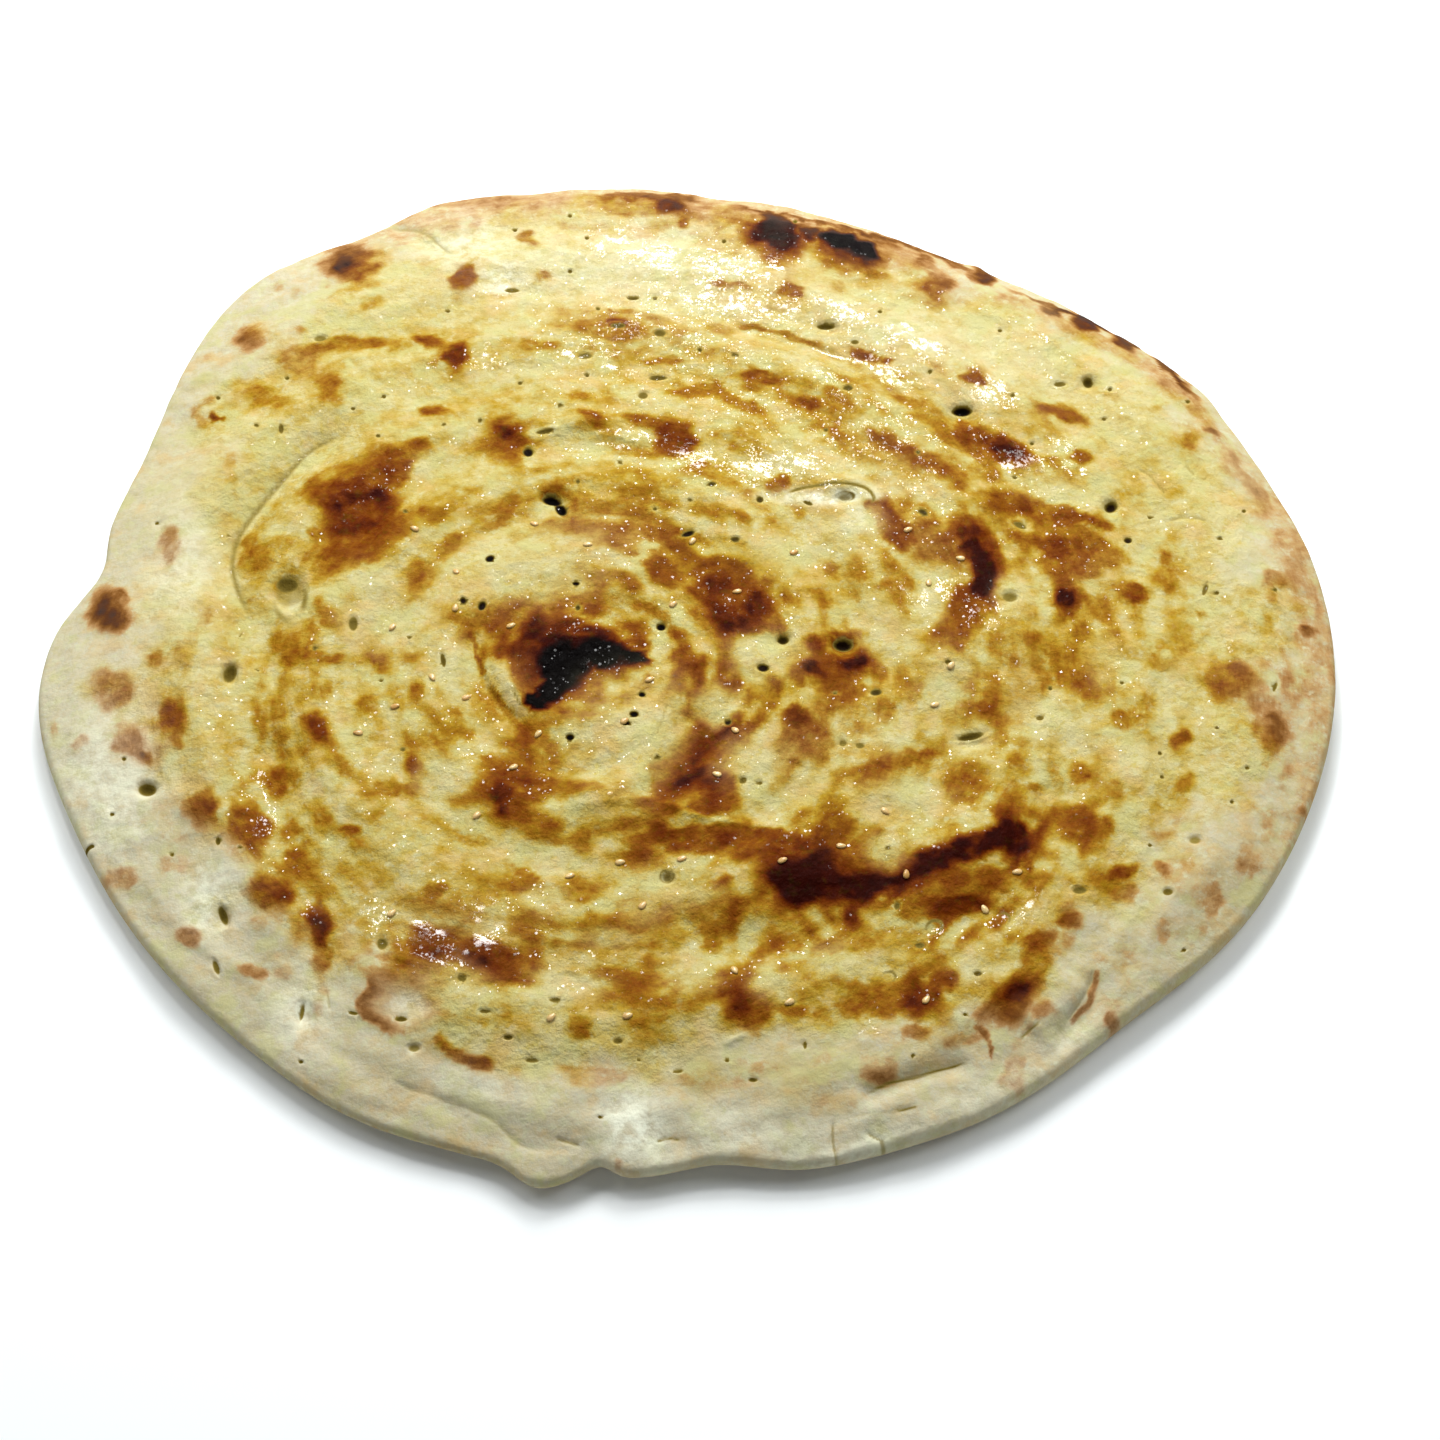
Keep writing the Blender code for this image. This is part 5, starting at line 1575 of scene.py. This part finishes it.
def pooled_with_oil(tree, colour, tone, fleck, oil):
    """The colour with yellow oil in it, and pinkish where the crust is scalded."""
    golden = times(tree, window(tree, fleck, GOLDEN_PATCHES), oil)
    yellow = stronger(tree, times(tree, golden, GOLDEN_SHARE),
                      times(tree, stored(tree, "yellow"), YELLOW_SHARE))
    colour = blend(tree, yellow, colour, colour_ramp(tree, tone, YELLOW_BROWNING))
    pink = times(tree, stored(tree, "pink"), PINK_SHARE)
    return blend(tree, pink, colour, colour_ramp(tree, tone, PINK_BROWNING))


def varied_hue(tree, group, place, colour, light):
    """The light crust's colour, greenish in broad patches and peach in others."""
    hue, _ = grain(tree, group, aside(tree, aside(tree, place)), HUE_GRAIN)
    greenish = times(tree, window(tree, hue, GREENISH_PATCHES), light)
    colour = blend(tree, greenish, colour, crust_shade(GREENISH))
    peach = times(tree, window(tree, hue, PEACH_PATCHES), light)
    return blend(tree, peach, colour, crust_shade(PEACH))


def floured(tree, colour, tone, broad):
    """The colour with flour dusted on it."""
    flour = times(tree, stored(tree, "flour"), window(tree, broad, FLOUR_PATCHES))
    flour = times(tree, flour, window(tree, tone, FLOUR_TONES))
    return blend(tree, flour, colour, linear(*FLOURED))


def crust_colour(tree, group, place):
    """Base colour of the crust: dry and oiled dough, browned, pooled with oil, and darkened by painted
    shade in its holes and creases.
    """
    mottle, _ = grain(tree, group, place, MOTTLE_GRAIN)
    broad, _ = grain(tree, group, place, BROAD_GRAIN)
    fleck, _ = grain(tree, group, aside(tree, place), FLECK_GRAIN)
    oil = stored(tree, "oil")
    tone = grained_tone(tree, group, place, mottle, broad)
    light = window(tree, tone, LIGHT_CRUST)
    dry = dry_dough(tree, tone, light, fleck, mottle)
    colour = blend(tree, oil, dry, colour_ramp(tree, tone, OILED_BROWNING))
    colour = pale_flecked(tree, colour, tone, fleck)
    colour = pooled_with_oil(tree, colour, tone, fleck, oil)
    colour = varied_hue(tree, group, place, colour, light)
    colour = floured(tree, colour, tone, broad)
    # Painted shade in holes and creases, and the dark edges of burst rings, over the colour
    hollow = stored(tree, "hollow")
    pit = colour_ramp(tree, hollow, HOLLOW_COLOUR_AND_SHADE)
    colour = blend(tree, window(tree, hollow, HOLLOW_EDGE), colour, pit)
    under = blend(tree, window(tree, broad, UNDER_PATCHES), linear(*UNDER_PALE), linear(*UNDER_BAKED))
    return blend(tree, stored(tree, "under"), colour, under)


def droplets(tree, place, fineness, gleam):
    """Oil drops that catch the light: here and there, and many where the crust gleams."""
    cells = add_node(tree, "ShaderNodeTexVoronoi", {"Vector": place, "Scale": fineness})
    chance = add_node(tree, "ShaderNodeSeparateColor", {0: cells.outputs["Color"]}).outputs[0]
    share = plus(tree, times(tree, gleam, GLEAM_SHARE), DROP_SHARE)
    chosen = window(tree, plus(tree, chance, share), DROP_CHANCE)
    away = reckon(tree, "SUBTRACT", cells.outputs["Distance"], times(tree, gleam, DROP_SWELLING))
    return times(tree, chosen, window(tree, away, DROP_EDGE))


def wet_lace(tree, group, place, gleam):
    """Oil in the wrinkles of the crust, in curved lines that join up where it gleams most."""
    swirl, _ = grain(tree, group, drawn_round(tree, place), LACE_GRAIN)
    ridge = reckon(tree, "SUBTRACT", times(tree, gleam, LACE_WIDTH), reckon(tree, "ABSOLUTE", swirl))
    broken, _ = grain(tree, group, aside(tree, place), LACE_BREAK_GRAIN)
    kept = window(tree, plus(tree, broken, times(tree, gleam, LACE_JOINING)), LACE_BREAKS)
    return times(tree, window(tree, ridge, LACE_EDGE), kept)


def oil_specks(tree, group, place, oil):
    """Where the oil catches the light: in drops, in pools and along wet wrinkles."""
    gleam = stored(tree, "gleam")
    specks = times(tree, droplets(tree, aside(tree, place), POOL_GRAIN, gleam),
                   window(tree, gleam, POOL_GLEAM))
    for fineness in DROP_GRAINS:
        specks = stronger(tree, specks, droplets(tree, place, fineness, gleam))
    specks = stronger(tree, specks, wet_lace(tree, group, place, gleam))
    specks = times(tree, specks, window(tree, stored(tree, "browning"), SPECKS_ON_DARK))
    return reckon(tree, "MULTIPLY", oil, specks, clamp=True)


def crust_bumps(tree, group, place, oil, relief):
    """Grain, fibres and small blisters as bumps, lower where no oil lies."""
    _, fibres = grain(tree, group, drawn_round(tree, place), FIBRE_RELIEF_GRAIN)
    blister, _ = grain(tree, group, aside(tree, place), BLISTER_GRAIN)
    height = plus(tree, times(tree, relief, RELIEF_SHARE), times(tree, fibres, FIBRE_RELIEF_SHARE))
    height = plus(tree, height, times(tree, blister, BLISTER_SHARE))
    height = reckon(tree, "SUBTRACT", height, RELIEF_MIDDLE)
    height = times(tree, height, window(tree, oil, OILED_RELIEF))
    bump = {"Strength": 1.0, "Distance": CRUST_BUMP, "Height": height}
    return add_node(tree, "ShaderNodeBump", bump).outputs[0]


def new_material(name, values):
    """A material whose shader has the given constant values, with its node tree."""
    material = bpy.data.materials.new(name)
    material.use_nodes = True
    shader = material.node_tree.nodes["Principled BSDF"]
    for socket, value in values.items():
        shader.inputs[socket].default_value = value
    return material, material.node_tree


def feed(tree, sources):
    """Links what changes over the surface to the sockets of a material's shader."""
    shader = tree.nodes["Principled BSDF"]
    for socket, source in sources.items():
        tree.links.new(source, shader.inputs[socket])


def crust_material(group):
    """Oiled, browned bread: glossy and rippled where the oil is, floury and dull along the rim."""
    material, tree = new_material("oiled_crust", {
        "Specular IOR Level": CRUST_SPECULAR,
        "Coat Roughness": OIL_ROUGHNESS,
    })
    place = add_node(tree, "ShaderNodeTexCoord").outputs["Object"]
    oil = stored(tree, "oil")
    pool, relief = grain(tree, group, place, RELIEF_GRAIN)
    rough = {0: oil, 2: DRY_ROUGHNESS, 3: window(tree, pool, OILED_ROUGHNESS)}
    feed(tree, {
        "Base Color": crust_colour(tree, group, place),
        "Roughness": add_node(tree, "ShaderNodeMix", rough, data_type="FLOAT").outputs[0],
        "Coat Weight": oil_specks(tree, group, place, oil),
        "Normal": crust_bumps(tree, group, place, oil, relief),
    })
    return material


def sesame_material(group):
    """Toasted sesame: cream to golden, and glossed by the oil."""
    material, tree = new_material("toasted_sesame", {
        "Coat Weight": SEED_OIL,
        "Coat Roughness": SEED_OIL_ROUGHNESS,
    })
    place = add_node(tree, "ShaderNodeTexCoord").outputs["Object"]
    toast, relief = grain(tree, group, place, SESAME_GRAIN)
    bump = {"Strength": SEED_BUMP_STRENGTH, "Distance": SEED_BUMP, "Height": relief}
    feed(tree, {
        "Base Color": blend(tree, window(tree, toast, SEED_TOAST), linear(*SESAME_PALE),
                            linear(*SESAME_TOASTED)),
        "Roughness": window(tree, toast, SEED_ROUGHNESS),
        "Normal": add_node(tree, "ShaderNodeBump", bump).outputs[0],
    })
    return material


def floor_material():
    """A pale, dull floor."""
    return new_material("pale_floor", {
        "Base Color": linear(*FLOOR_COLOUR),
        "Roughness": FLOOR_ROUGHNESS,
        "Specular IOR Level": FLOOR_SPECULAR,
    })[0]


def make_floor():
    """The floor on which the bread lies."""
    mesh = bmesh.new()
    bmesh.ops.create_grid(mesh, x_segments=1, y_segments=1, size=FLOOR_SIZE / 2)
    return finish_object(mesh, "floor", floor_material())


def aim(thing, place, target):
    """Puts a lamp or the camera in place and points it at its target."""
    thing.location = place
    thing.rotation_euler = (Vector(target) - Vector(place)).to_track_quat("-Z", "Y").to_euler()
    bpy.context.scene.collection.objects.link(thing)


def toward(azimuth, elevation):
    """The direction of a lamp at a bearing and a height in degrees."""
    side = math.radians(azimuth)
    height = math.radians(elevation)
    level = math.cos(height)
    return Vector((math.cos(side) * level, math.sin(side) * level, math.sin(height)))


def add_broad_lamp(lamp):
    """A broad lamp, near enough to light the side of the crust that faces it more than the other."""
    data = bpy.data.lights.new(lamp.name, "AREA")
    data.energy = lamp.power
    data.size = lamp.size
    thing = bpy.data.objects.new(lamp.name, data)
    thing.visible_glossy = False
    aim(thing, toward(lamp.azimuth, lamp.elevation) * lamp.distance, (0, 0, 0))


def add_fill():
    """Very soft light from the near side."""
    data = bpy.data.lights.new("fill", "SUN")
    data.energy = FILL_STRENGTH
    data.angle = math.radians(FILL_SPREAD)
    lamp = bpy.data.objects.new("fill", data)
    lamp.visible_glossy = False
    aim(lamp, toward(FILL_AZIMUTH, FILL_ELEVATION) * FILL_DISTANCE, (0, 0, 0))


def add_glint(glint):
    """A small lamp whose mirror image shows at the glint's pixel, in crust of the given slope."""
    spot = Vector((*lie(glint.x, glint.y), CROWN_HEIGHT))
    mirrored = (spot - EYE).normalized().reflect(Vector((0, glint.slope, 1)).normalized())
    data = bpy.data.lights.new(glint.name, "AREA")
    data.energy = glint.power
    data.size = glint.size
    aim(bpy.data.objects.new(glint.name, data), spot + mirrored * GLINT_DISTANCE, spot)


def light_world():
    """Faint, even light from all round."""
    world = bpy.data.worlds.new("studio")
    world.use_nodes = True
    sky = world.node_tree.nodes["Background"]
    sky.inputs["Color"].default_value = linear(*WORLD_COLOUR)
    sky.inputs["Strength"].default_value = WORLD_STRENGTH
    bpy.context.scene.world = world


def add_camera():
    """The picture's own view of the bread."""
    data = bpy.data.cameras.new("camera")
    data.sensor_width = SENSOR
    data.lens = SENSOR * FOCAL_PIXELS / (2 * PICTURE_MIDDLE)
    camera = bpy.data.objects.new("camera", data)
    aim(camera, EYE, AIM)
    bpy.context.scene.camera = camera


def main():
    """Builds the bread and its seeds, and sets them in the studio."""
    group = grain_group()
    bread = make_bread(crust_material(group))
    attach(bread, "root")
    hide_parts("tamees")
    seeds = make_seeds(sesame_material(group))
    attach(seeds, "root")
    make_floor()
    add_camera()
    light_world()
    for lamp in BROAD_LAMPS:
        add_broad_lamp(lamp)
    add_fill()
    for glint in GLINTS:
        add_glint(glint)
    bpy.context.scene.view_settings.view_transform = "Standard"


main()
